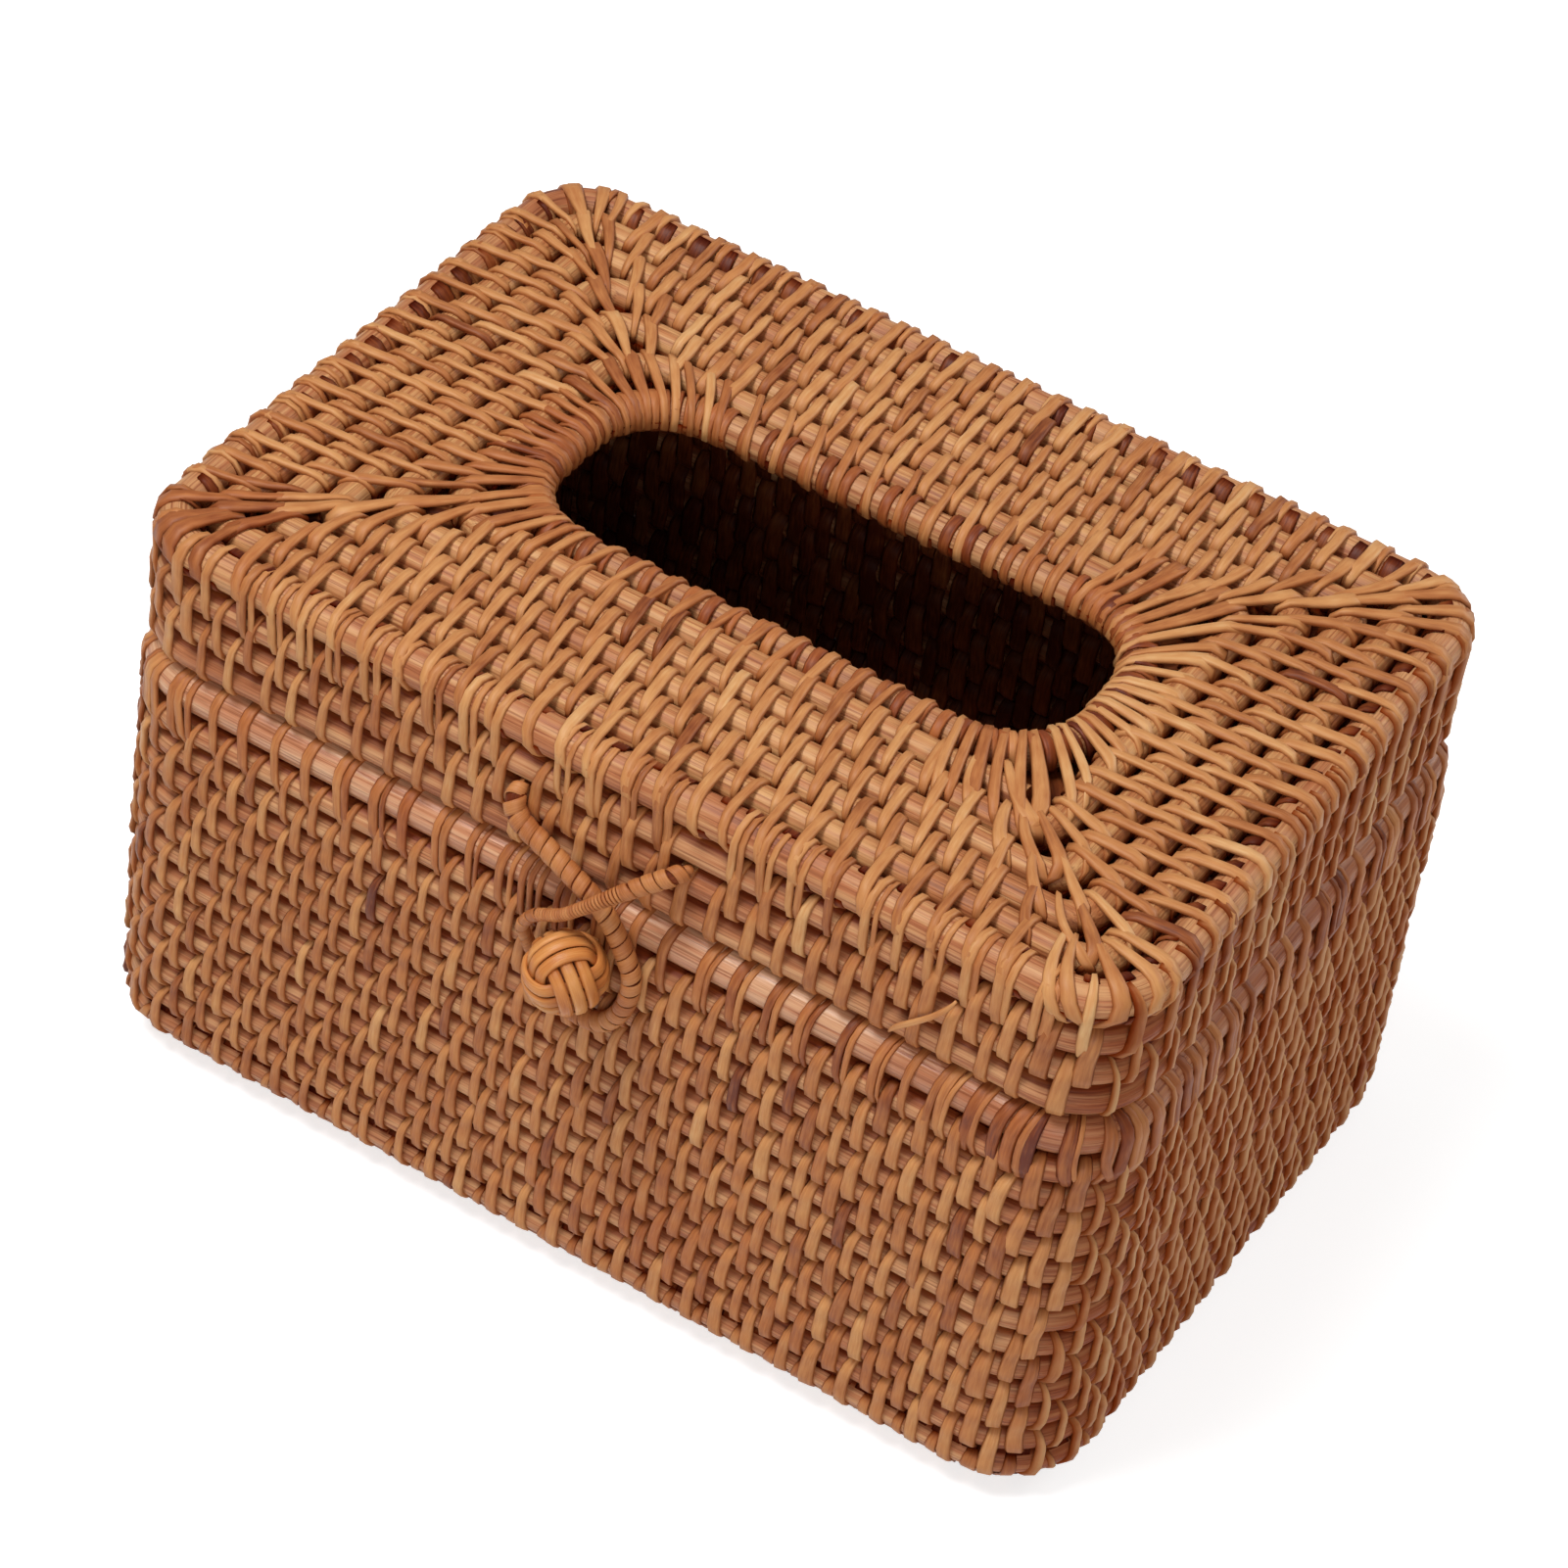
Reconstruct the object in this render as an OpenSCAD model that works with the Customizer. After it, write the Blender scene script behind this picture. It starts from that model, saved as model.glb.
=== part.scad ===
// Tissue box cover in coiled rattan: a deep body of stacked rod rings, a hinged lid with a
// dispensing slot, cane lashings as hinges, and a loop-and-knot clasp.
// Every rod keeps its own round section, and the narrow gaps between neighbouring rods are
// the room that the split-cane binding takes.
// X runs along the long side, the clasp faces -Y, Z is up, and the base stands on Z = 0.

/* [Lid] */
// Length of the lid between the centre lines of its skirt rods
lid_l = 231; // [224:1:260]
// Width of the lid between the centre lines of its skirt rods
lid_w = 155.8; // [152:0.2:164]
// Bend radius of the skirt rods at the corners, on the centre line
lid_corner = 14.5; // [9:0.5:18]
// Diameter of the three skirt rods
skirt_d = 7.3; // [6.8:0.1:8]
// Diameter of the thick rod that turns the edge from the skirt to the top
edge_d = 8.6; // [7.6:0.1:9.4]

/* [Lid top] */
// Width of the tissue slot between its rods. Its length is what the rings of the top leave.
slot_w = 47; // [44:0.5:50]
// Diameter of the rod that rims the slot
slot_rod_d = 7.4; // [6.8:0.1:8]
// Bend radius of the slot rod at its corners, on the centre line
slot_corner = 21; // [14:0.5:24]
// Diameter that the top rods come near: a whole number of them fills the width of the top
top_aim_d = 7.6; // [7:0.1:8.2]
// How much further the slot lies from the edge rod at the left end than at the front
left_ease = 1.4; // [0:0.1:3]
// Gap between the rods right of the slot, where one rod less leaves them more room
right_gap = 1.314; // [0.9:0.002:1.6]
// Bend radius of the mitred top rods, on the centre line
mitre_r = 7; // [5:0.5:9]
// How much tighter each top rod bends than the one inside it, until it bends at mitre_r
mitre_step = 6; // [4:0.5:8]

/* [Body] */
// How far the rim rod stands out past the lid's skirt rods, on the centre lines
rim_out = 0.5; // [0:0.1:1.5]
// Diameter of the rim rod
rim_d = 9.4; // [8:0.1:9.8]
// Bend radius of the rim rod at the corners, on the centre line
rim_corner = 15.5; // [10:0.5:20]
// How far the top wall rod stands out past the rim rod, on the centre lines
wall_out = 2.1; // [1:0.1:3]
// How much further the lowest wall rod stands out than the top one
wall_flare = 0.8; // [0:0.1:3]
// Diameter of the wall rods
wall_d = 6.5; // [5.6:0.1:7.4]
// Number of wall rods
wall_rows = 13; // [8:1:16]
// Bend radius of the wall rods at the corners, on the centre line
wall_corner = 18.5; // [12:0.5:24]

/* [Base] */
// Diameter that the base rod comes near: a whole number of turns fills the width of the base
base_aim_d = 6.3; // [5.8:0.1:6.8]
// How far the outer turn of the base lies inside the lowest wall rod, on the centre lines
base_inset = 4.1; // [3.6:0.1:5]
// Depth of the flat that wear and pressing leave under the base rod
base_flat = 0.5; // [0.2:0.1:0.8]
// Bend radius of the outer turn of the base at its corners, on the centre line
base_corner = 14.4; // [8:0.4:18]

/* [Hinge lashings] */
// Number of cane lashings along the back
lashings = 3; // [2:1:5]
// Distance between the first and the last lashing
lashing_span = 150; // [100:5:170]
// Width of one lashing, several turns of cane side by side
lashing_w = 11; // [6:0.5:16]
// Thickness of the cane in a lashing
lashing_t = 0.5; // [0.3:0.05:0.55]
// Running clearance of a lashing round the rods that it ties
lashing_play = 0.05; // [0.02:0.01:0.1]
// Width of the waist where the turns of a lashing cross between the two rods
waist_w = 4; // [3:0.5:5]

/* [Clasp knot] */
// Diameter of the woven knot
knot_d = 17.8; // [16:0.2:19]
// Place of the knot along the front, right of the middle
knot_x = 2.7; // [-20:0.1:20]
// Drop from the roots of the loop on the lid to the middle of the knot
knot_drop = 29.8; // [29.2:0.1:31]
// Width of the strands woven over the knot
strand_w = 2.5; // [1.6:0.1:2.6]
// How far the woven strands stand proud of the knot's core
strand_t = 0.7; // [0.3:0.1:1]
// Gap between neighbouring strands on the knot
strand_gap = 0.3; // [0.1:0.1:0.6]

/* [Clasp loop] */
// Diameter of the wound loop along its thick stretch
loop_d = 4.4; // [3.6:0.1:4.6]
// Distance between the two roots of the loop on the lid
loop_span = 39; // [36:0.5:44]
// How far the middle of the roots lies left of the knot
loop_left = 1.8; // [0:0.1:4]
// Free room between the loop's ring and the knot that passes through it
loop_play = 0.4; // [0.3:0.05:0.8]
// How far the stretch that crosses in front stands off the one behind it
cross_gap = 0.6; // [0.5:0.1:1.2]

/* [Cane tails] */
// Width of the cane tails that tie the knot and the loop through the rods
tail_w = 3.2; // [2:0.1:4]
// Thickness of those tails
tail_t = 0.35; // [0.2:0.05:0.4]
// Length of a tail folded down against the inside
tail_fold = 9; // [4:0.5:10]
// Depth of the pocket in the knot that a tail comes out of
tail_pocket = 2; // [1:0.5:4]
// Room round a tail in its pocket
tail_play = 0.05; // [0.02:0.01:0.1]

/* [Clearances] */
// Gap between neighbouring rods, which the binding fills
bind_gap = 0.7; // [0.65:0.01:0.9]
// Gap between the skirt rods, where the lashings run through
skirt_gap = 0.9; // [0.9:0.01:0.98]
// Thickness of the split cane that binds the rods
cane_t = 0.75; // [0.5:0.05:0.8]
// Height between the closed lid's lowest rod and the rim rod, where binding meets binding
seat_gap = 1.2; // [1:0.1:1.6]
// Room that a moving piece keeps from the binding that it lies against
running_gap = 0.35; // [0.3:0.05:0.6]

/* [Hidden] */
$fn = 48;
over = 0.5;
// Places along the rods are kept on hundredths, so that runs and bends meet exactly
function even(v) = round(100 * v) / 100;

// Outlines of the body's rods, as half sizes on their centre lines
rim_half = [lid_l / 2 + rim_out, lid_w / 2 + rim_out];
wall_top_half = [rim_half.x + wall_out, rim_half.y + wall_out];
wall_low_half = [wall_top_half.x + wall_flare, wall_top_half.y + wall_flare];
base_half = [wall_low_half.x - base_inset, wall_low_half.y - base_inset];

// Base: turns of one rod at an even pitch round a straight middle stretch, cut flat underneath
base_turns = round(base_half.y / (base_aim_d + bind_gap));
base_pitch = base_half.y / base_turns;
base_d = base_pitch - bind_gap;
base_z = base_d / 2 - base_flat;
middle_half = even(base_half.x - base_half.y);

// Heights of the wall rods and the rim: each rod rests on the one below through the binding
wall_pitch = wall_d + bind_gap;
foot_reach = (base_d + wall_d) / 2 + bind_gap;
wall_z = base_z + sqrt(pow(foot_reach, 2) - pow(base_inset, 2));
wall_top_z = wall_z + (wall_rows - 1) * wall_pitch;
rim_reach = (wall_d + rim_d) / 2 + bind_gap;
rim_z = wall_top_z + sqrt(pow(rim_reach, 2) - pow(wall_out, 2));

// Lid: the lid turns about the rear run of its lowest skirt rod
skirt_half = [lid_l / 2, lid_w / 2];
skirt_pitch = skirt_d + skirt_gap;
hinge_z = rim_z + (rim_d + skirt_d) / 2 + seat_gap;
edge_in = (edge_d - skirt_d) / 2;
edge_half = [skirt_half.x - edge_in, skirt_half.y - edge_in];
edge_z = hinge_z + 2 * skirt_pitch + (skirt_d + edge_d) / 2 + skirt_gap;

// Lid top: the rods between the slot rod and the edge rod fill the width that is left
slot_half_w = (slot_w + slot_rod_d) / 2;
rods_half = (slot_rod_d + edge_d) / 2;
top_room = edge_half.y - slot_half_w;
top_rings = round((top_room - rods_half - bind_gap) / (top_aim_d + bind_gap));
top_d = (top_room - rods_half - (top_rings + 1) * bind_gap) / top_rings;
top_z = edge_z + (edge_d - top_d) / 2;
top_pitch = top_d + bind_gap;
// The left side is a little wider than the long sides, and the right side holds one rod less
slot_left = edge_half.x - top_room - left_ease;
left_share = (top_room + left_ease) / top_room;
slot_right = edge_half.x - rods_half - (top_rings - 1) * top_d - top_rings * right_gap;

// Clasp: the loop's roots sit in the groove between the upper two skirt rods
root_z = hinge_z + 1.5 * skirt_pitch;
root_reach = (skirt_d + loop_d) / 2 + running_gap;
root_out = skirt_half.y + sqrt(pow(root_reach, 2) - pow(skirt_pitch / 2, 2));
knot_z = root_z - knot_drop;
knot_r = knot_d / 2;
wall_face = wall_top_half.y + wall_d / 2 + cane_t;
knot_out = wall_face + knot_r;
ring_out = wall_face + loop_d / 2 + running_gap;
ring_r = knot_r + loop_d / 2 + loop_play;
loop_thin_share = 0.75;
cross_out = ring_out + loop_d / 2 * (1 + loop_thin_share) + cross_gap;
loop_x = knot_x - loop_left;
// Route of the loop, chosen by hand. The legs are shares of the half span of the roots
// across and of the drop to the knot down, the ring is shares of ring_r about the knot.
// The third share goes out from the roots (0) to the ring (1) and the crossing in front (2),
// and the fourth is the thickness as a share of loop_d.
left_leg_shares = [
    [-1, 0, 0, 1], [-0.96, 0.12, 0.45, 1], [-0.78, 0.21, 0.55, 1], [-0.58, 0.26, 0.62, 1],
    [-0.3, 0.33, 0.78, 1], [-0.05, 0.39, 0.93, 1], [0.17, 0.46, 1, 1], [0.37, 0.59, 1, 1]];
ring_shares = [
    [0.78, 0.6, 1, 1], [1, 0.13, 1, 1], [1.02, -0.31, 1, 1], [0.88, -0.86, 1, 1],
    [0.56, -1.31, 1, 1], [0.07, -1.5, 1, 1], [-0.48, -1.42, 1, 0.95], [-0.93, -1.14, 1, 0.88],
    [-1.21, -0.67, 1, 0.8], [-1.24, -0.16, 1.05, 0.76], [-1.09, 0.29, 1.2, 0.75]];
right_leg_shares = [
    [-0.36, 0.74, 1.58, 0.75], [-0.11, 0.6, 1.9, 0.75], [0.13, 0.44, 2, 0.75],
    [0.37, 0.29, 1.72, 0.78], [0.58, 0.18, 1.22, 0.86], [0.79, 0.08, 0.7, 0.92],
    [0.93, 0.02, 0.32, 0.94], [1, 0, 0, 0.92]];
loop_sides = 8;
loop_steps = 3;
cap_shares = [0.96, 0.72];

function wall_name(i) = str("wall_rod_", i < 10 ? "0" : "", i);

// One straight run of rod from a point, along a heading in the plane
module run(start, heading, length, d) {
    translate(start)
        rotate([0, 90, heading])
            cylinder(h = length, d = d);
}

// A quarter bend to the left, after a run along a heading that would reach the corner
module quarter_bend(corner, heading, bend, d) {
    across = -cos(heading) - sin(heading);
    along = cos(heading) - sin(heading);
    translate([corner.x + bend * across, corner.y + bend * along])
        rotate(heading - 90)
            rotate_extrude(angle = 90)
                translate([bend, 0])
                    circle(d = d);
}

// A closed ring of rod, with its left and right runs at x_left and x_right
module rod_ring(x_left, x_right, half_w, bend, d) {
    long_run = x_right - x_left - 2 * bend;
    short_run = 2 * (half_w - bend);
    run([x_left + bend, -half_w, 0], 0, long_run, d);
    quarter_bend([x_right, -half_w], 0, bend, d);
    run([x_right, bend - half_w, 0], 90, short_run, d);
    quarter_bend([x_right, half_w], 90, bend, d);
    run([x_right - bend, half_w, 0], 180, long_run, d);
    quarter_bend([x_left, half_w], 180, bend, d);
    run([x_left, half_w - bend, 0], 270, short_run, d);
    quarter_bend([x_left, -half_w], 270, bend, d);
}

// The same ring round the middle of the object
module centred_ring(half, bend, d) {
    rod_ring(-half.x, half.x, half.y, bend, d);
}

// Corners of the base coil in the order of its winding, each as [x, y, bend]
function base_bend(k) =
    k == 1 ? even(base_pitch) / 2
    : even(base_pitch / 2 + (base_corner - base_pitch / 2) * (k - 1) / (base_turns - 1));
function base_corners() = [
    for (k = [1:base_turns])
        let (x = even(middle_half + k * base_pitch), y = even(k * base_pitch),
                before = even((k - 1) * base_pitch), bend = base_bend(k))
            each [[x, -before, bend], [x, y, bend], [-x, y, bend], [-x, -y, bend]]];

// One long rod, coiled flat from a straight middle stretch, its outer end let run out
module base_coil() {
    corners = base_corners();
    count = len(corners);
    color("burlywood")
        difference() {
            translate([0, 0, base_z])
                for (i = [0:count]) {
                    heading = 90 * (i % 4);
                    from = i == 0 ? [-middle_half, 0, 0] : corners[i - 1];
                    to = i == count ? [base_half.x, -base_half.y, base_corner] : corners[i];
                    length = norm([to.x - from.x, to.y - from.y]) - from.z - to.z;
                    if (even(length) > 0)
                        run([from.x + from.z * cos(heading), from.y + from.z * sin(heading), 0],
                            heading, length, base_d);
                    if (i < count)
                        quarter_bend(to, heading, to.z, base_d);
                }
            translate([-base_half.x - base_d, -base_half.y - base_d, -base_d])
                cube([2 * (base_half.x + base_d), 2 * (base_half.y + base_d), base_d]);
        }
}

// Wall ring i, counted from the base, flared a little more the lower it lies
module wall_rod(i) {
    flare = even(wall_flare * (wall_rows - i) / (wall_rows - 1));
    color("tan")
        translate([0, 0, wall_z + (i - 1) * wall_pitch])
            centred_ring([wall_top_half.x + flare, wall_top_half.y + flare], wall_corner, wall_d);
}

// The thick rod that ends the body and that the lid rests on
module rim_rod() {
    color("wheat")
        translate([0, 0, rim_z])
            centred_ring(rim_half, rim_corner, rim_d);
}

// Bore of a lashing's eye round a rod that runs along X
module eye(centre, rod_d, width, wall) {
    translate([-width / 2, centre.x, centre.y])
        rotate([0, 90, 0])
            cylinder(h = width, d = rod_d + 2 * (lashing_play + wall));
}

// A figure-of-eight of cane strips: one eye holds the rim rod, the other lets the lid turn
module hinge_lashing(i) {
    rim_at = [rim_half.y, rim_z];
    pin_at = [skirt_half.y, hinge_z];
    x = -lashing_span / 2 + (i - 1) * lashing_span / (lashings - 1);
    color("goldenrod")
        translate([x, 0, 0])
            difference() {
                union() {
                    eye(rim_at, rim_d, lashing_w, lashing_t);
                    eye(pin_at, skirt_d, lashing_w, lashing_t);
                    translate([-lashing_w / 2, (rim_at.x + pin_at.x - waist_w) / 2, rim_z])
                        cube([lashing_w, waist_w, hinge_z - rim_z]);
                }
                eye(rim_at, rim_d, lashing_w + 2 * over, 0);
                eye(pin_at, skirt_d, lashing_w + 2 * over, 0);
            }
}

// Slabs that cut one band of strands out of the knot's ball: the strands lie side by side
// along Y and run along X, until the edge of the next band covers their ends
module strand_slabs() {
    pitch = strand_w + strand_gap;
    band_half = pitch + strand_w / 2;
    for (i = [-1:1]) {
        far_edge = abs(i) * pitch + strand_w / 2;
        half_run = sqrt(pow(knot_r, 2) - pow(band_half, 2) - pow(far_edge, 2)) - strand_gap / 2;
        translate([-half_run, i * pitch - strand_w / 2, -knot_r])
            cube([2 * half_run, strand_w, 2 * knot_r]);
    }
}

// The knot: a ball of cane whose three bands of strands dive under each other in turn
module clasp_knot() {
    tail_z = groove_z() - knot_z;
    color("darkorange")
        translate([knot_x, -knot_out, knot_z])
            difference() {
                union() {
                    sphere(r = knot_r - strand_t);
                    intersection() {
                        sphere(r = knot_r);
                        union() {
                            strand_slabs();
                            rotate([90, 0, 90])
                                strand_slabs();
                            rotate([0, 270, 270])
                                strand_slabs();
                        }
                    }
                }
                translate([-tail_w / 2 - tail_play, knot_back() - tail_pocket,
                        tail_z - tail_t / 2 - tail_play])
                    cube([tail_w + 2 * tail_play, knot_r, tail_t + 2 * tail_play]);
            }
}

// Height of the groove between the top wall rod and the rim rod
function groove_z() = (wall_top_z + wall_d / 2 + rim_z - rim_d / 2) / 2;
// How far behind the knot's middle its surface lies at the height of that groove
function knot_back() = sqrt(pow(knot_r - strand_t, 2) - pow(groove_z() - knot_z, 2));

// A cane strip through a groove from y_front to the inside, folded down at y_inside
module tail(x, y_front, y_inside, z) {
    translate([x - tail_w / 2, y_front, z - tail_t / 2])
        cube([tail_w, y_inside - y_front, tail_t]);
    translate([x - tail_w / 2, y_inside - tail_t, z + tail_t / 2 - tail_fold])
        cube([tail_w, tail_t, tail_fold]);
}

// The knot's tail, tied off on the inside of the top wall rod
module knot_tail() {
    inside = -wall_top_half.y + wall_d / 2 + tail_t + tail_play;
    color("goldenrod")
        tail(knot_x, -knot_out + knot_back() - tail_pocket + tail_play, inside, groove_z());
}

// Skirt ring i, counted from the body: the first one is the lid's hinge pin at the back
module skirt_rod(i) {
    color("tan")
        translate([0, 0, hinge_z + (i - 1) * skirt_pitch])
            centred_ring(skirt_half, lid_corner, skirt_d);
}

// The thick rod between the skirt and the top
module edge_rod() {
    color("burlywood")
        translate([0, 0, edge_z])
            centred_ring(edge_half, lid_corner - edge_in, edge_d);
}

// Places of the runs of top ring i, counted from the slot
function ring_half_w(i) =
    even(slot_half_w + (slot_rod_d + top_d) / 2 + bind_gap + (i - 1) * top_pitch);
function ring_left(i) = even(-slot_left - left_share * (ring_half_w(i) - slot_half_w));
function ring_right(i) =
    even(slot_right + slot_rod_d / 2 + right_gap + top_d / 2 + (i - 2) * (top_d + right_gap));
function ring_bend(i) = max(mitre_r, slot_corner - i * mitre_step);

// Top ring i. The first lies round three sides of the slot only, and its two ends stop
// where the next ring turns the right-hand corners.
module top_rod(i) {
    half_w = ring_half_w(i);
    bend = ring_bend(i);
    leg = ring_right(2) - ring_bend(2) - ring_left(1) - bend;
    color("tan")
        translate([0, 0, top_z])
            if (i == 1) {
                run([ring_left(1) + bend + leg, half_w, 0], 180, leg, top_d);
                quarter_bend([ring_left(1), half_w], 180, bend, top_d);
                run([ring_left(1), half_w - bend, 0], 270, 2 * (half_w - bend), top_d);
                quarter_bend([ring_left(1), -half_w], 270, bend, top_d);
                run([ring_left(1) + bend, -half_w, 0], 0, leg, top_d);
            } else
                rod_ring(ring_left(i), ring_right(i), half_w, bend, top_d);
}

// The rod that rims the tissue slot
module slot_rod() {
    color("sienna")
        translate([0, 0, edge_z + (edge_d - slot_rod_d) / 2])
            rod_ring(-slot_left, slot_right, slot_half_w, slot_corner, slot_rod_d);
}

// Tails of the loop, one at each root, folded down behind the middle skirt rod
module loop_tails() {
    inside = -skirt_half.y + skirt_d / 2 + tail_t + tail_play;
    start = -root_out + loop_d / 2 + tail_play;
    color("goldenrod")
        for (side = [-1, 1])
            tail(loop_x + side * loop_span / 2, start, inside, root_z);
}

// Outward place for the third share of the loop's route
function loop_out(share) = share <= 1
    ? root_out + share * (ring_out - root_out)
    : ring_out + (share - 1) * (cross_out - ring_out);
function leg_point(p) = [
    loop_x + p[0] * loop_span / 2, -loop_out(p[2]), root_z - p[1] * knot_drop, p[3] * loop_d / 2];
function ring_point(p) = [
    knot_x + p[0] * ring_r, -loop_out(p[2]), knot_z + p[1] * ring_r, p[3] * loop_d / 2];
loop_points = concat(
    [for (p = left_leg_shares) leg_point(p)],
    [for (p = ring_shares) ring_point(p)],
    [for (p = right_leg_shares) leg_point(p)]);

// A smooth curve through points: each stretch is bent by the points on both sides of it
function curve_at(a, b, c, d, t) =
    (2 * b + (c - a) * t + (2 * a - 5 * b + 4 * c - d) * pow(t, 2)
        + (3 * b - a - 3 * c + d) * pow(t, 3)) / 2;
function smooth(p, steps) = let (last = len(p) - 1) concat(
    [for (i = [0:last - 1], s = [0:steps - 1])
        curve_at(p[max(i - 1, 0)], p[i], p[i + 1], p[min(i + 2, last)], s / steps)],
    [p[last]]);
function place(p) = [p.x, p.y, p.z];
function unit(v) = v / norm(v);

// Rings of a tube along points [x, y, z, radius], each as [place, heading, radius]
function tube_rings(p) = let (last = len(p) - 1) [
    for (i = [0:last])
        [place(p[i]), unit(place(p[min(i + 1, last)]) - place(p[max(i - 1, 0)])), p[i][3]]];
function dome(ring, way) = [
    for (share = way < 0 ? cap_shares : [for (i = [1:len(cap_shares)]) cap_shares[len(cap_shares) - i]])
        [ring[0] + way * share * ring[2] * ring[1], ring[1], ring[2] * sqrt(1 - pow(share, 2))]];
function ring_vertices(ring) =
    let (side = unit(cross(ring[1], [0, 1, 0])), up = cross(ring[1], side)) [
        for (j = [0:loop_sides - 1]) let (a = 360 * j / loop_sides)
            ring[0] + ring[2] * (cos(a) * side + sin(a) * up)];

// The loop: a core of cane wound with a finer strip, its ring hanging round the knot
module clasp_loop() {
    body_rings = tube_rings(smooth(loop_points, loop_steps));
    rings = concat(
        dome(body_rings[0], -1), body_rings, dome(body_rings[len(body_rings) - 1], 1));
    count = len(rings);
    n = loop_sides;
    faces = concat(
        [for (j = [1:n - 2]) [0, j, j + 1]],
        [for (i = [0:count - 2], j = [0:n - 1])
            let (a = i * n + j, b = i * n + (j + 1) % n)
                each [[a, a + n, b + n], [a, b + n, b]]],
        [for (j = [1:n - 2]) [(count - 1) * n, (count - 1) * n + j + 1, (count - 1) * n + j]]);
    color("peru")
        polyhedron(points = [for (ring = rings) each ring_vertices(ring)], faces = faces);
}

// Least gaps of the coiled base and of the loop to themselves, measured on their points.
// Points of the loop count from this many steps apart, so that a bend isn't measured as a gap.
apart = 4 * loop_steps;
winding = base_corners();
loop_curve = smooth(loop_points, loop_steps);
echo(base_least_gap = min([
    for (i = [4:len(winding) - 1])
        let (step = winding[i] - winding[i - 4]) min(abs(step.x), abs(step.y)) - base_d]));
echo(loop_least_gap = min([
    for (i = [0:len(loop_curve) - 1], j = [i + apart:1:len(loop_curve) - 1])
        norm(place(loop_curve[i]) - place(loop_curve[j])) - loop_curve[i][3] - loop_curve[j][3]]));

base_coil();
for (i = [1:wall_rows])
    wall_rod(i);
rim_rod();
for (i = [1:lashings])
    hinge_lashing(i);
clasp_knot();
knot_tail();
for (i = [1:3])
    skirt_rod(i);
edge_rod();
for (i = [1:top_rings])
    top_rod(i);
slot_rod();
loop_tails();
clasp_loop();
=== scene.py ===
"""Coiled rattan tissue box cover, dressed over its solids: split-cane binding, woven knot,
wound clasp loop, and the finish of every rod. Lengths are in metres."""
import math

import bmesh
import bpy
import numpy as np
from mathutils import Euler, Matrix, Vector


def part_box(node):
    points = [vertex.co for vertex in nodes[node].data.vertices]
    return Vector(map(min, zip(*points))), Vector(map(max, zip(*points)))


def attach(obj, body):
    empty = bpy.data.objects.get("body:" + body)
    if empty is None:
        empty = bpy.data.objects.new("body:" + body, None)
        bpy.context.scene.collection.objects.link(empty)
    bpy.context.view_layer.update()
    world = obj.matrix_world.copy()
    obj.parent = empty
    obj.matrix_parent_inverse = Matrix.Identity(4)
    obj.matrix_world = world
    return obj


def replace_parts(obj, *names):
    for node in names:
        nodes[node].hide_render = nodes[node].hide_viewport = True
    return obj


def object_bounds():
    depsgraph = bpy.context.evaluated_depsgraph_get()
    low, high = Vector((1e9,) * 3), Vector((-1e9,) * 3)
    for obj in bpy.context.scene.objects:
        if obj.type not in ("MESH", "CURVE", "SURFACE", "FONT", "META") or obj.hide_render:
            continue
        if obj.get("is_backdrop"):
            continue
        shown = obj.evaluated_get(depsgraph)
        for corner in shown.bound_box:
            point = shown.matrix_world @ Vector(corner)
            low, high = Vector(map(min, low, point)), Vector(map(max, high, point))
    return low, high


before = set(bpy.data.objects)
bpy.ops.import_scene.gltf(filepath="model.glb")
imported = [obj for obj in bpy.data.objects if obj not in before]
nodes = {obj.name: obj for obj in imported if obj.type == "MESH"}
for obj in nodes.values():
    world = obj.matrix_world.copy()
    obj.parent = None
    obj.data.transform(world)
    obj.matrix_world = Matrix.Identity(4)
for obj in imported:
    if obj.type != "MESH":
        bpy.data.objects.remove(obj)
cad_bounds = [list(corner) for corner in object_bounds()]
bpy.ops.object.select_all(action="DESELECT")


# Camera
# The camera looks down on the front right corner from the photograph's place,
# a little rolled, with a long lens.
azimuth, elevation, roll = math.radians(26.24), math.radians(41.9), math.radians(8.39)
distance, box_middle, aim_right, aim_up = 1.10915, Vector((0, 0, 0.07315)), -0.0004, 0.00374
focal_length_px, picture_px, sensor_mm = 5236.86, 1601, 36
back = Vector((math.sin(azimuth) * math.cos(elevation), -math.cos(azimuth) * math.cos(elevation),
               math.sin(elevation)))
right = Vector((math.cos(azimuth), math.sin(azimuth), 0))
up = back.cross(right)
rolled_right = math.cos(roll) * right + math.sin(roll) * up
rolled_up = -math.sin(roll) * right + math.cos(roll) * up
bpy.ops.object.camera_add()
camera = bpy.context.object
camera.name = "camera"
camera.location = box_middle + back * distance + rolled_right * aim_right + rolled_up * aim_up
camera.rotation_euler = Matrix((rolled_right, rolled_up, back)).transposed().to_euler()
camera.data.sensor_width = sensor_mm
camera.data.lens = sensor_mm * focal_length_px / picture_px
camera.data.clip_start, camera.data.clip_end = 0.05, 20
bpy.context.scene.camera = camera


# Rattan rods
# Every ring of the box and its lid is a peeled rattan rod, bent to the outline while wet.
# The pale pinkish wood shows its pores as fine dark lines along the rod.
mm = 0.001


def colour(red, green, blue):
    """A colour as the eye names it, from 0 to 255, for a shader socket."""
    linear = [(c / 255 / 12.92) if c <= 10 else ((c / 255 + 0.055) / 1.055) ** 2.4
              for c in (red, green, blue)]
    return (*linear, 1)


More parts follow.
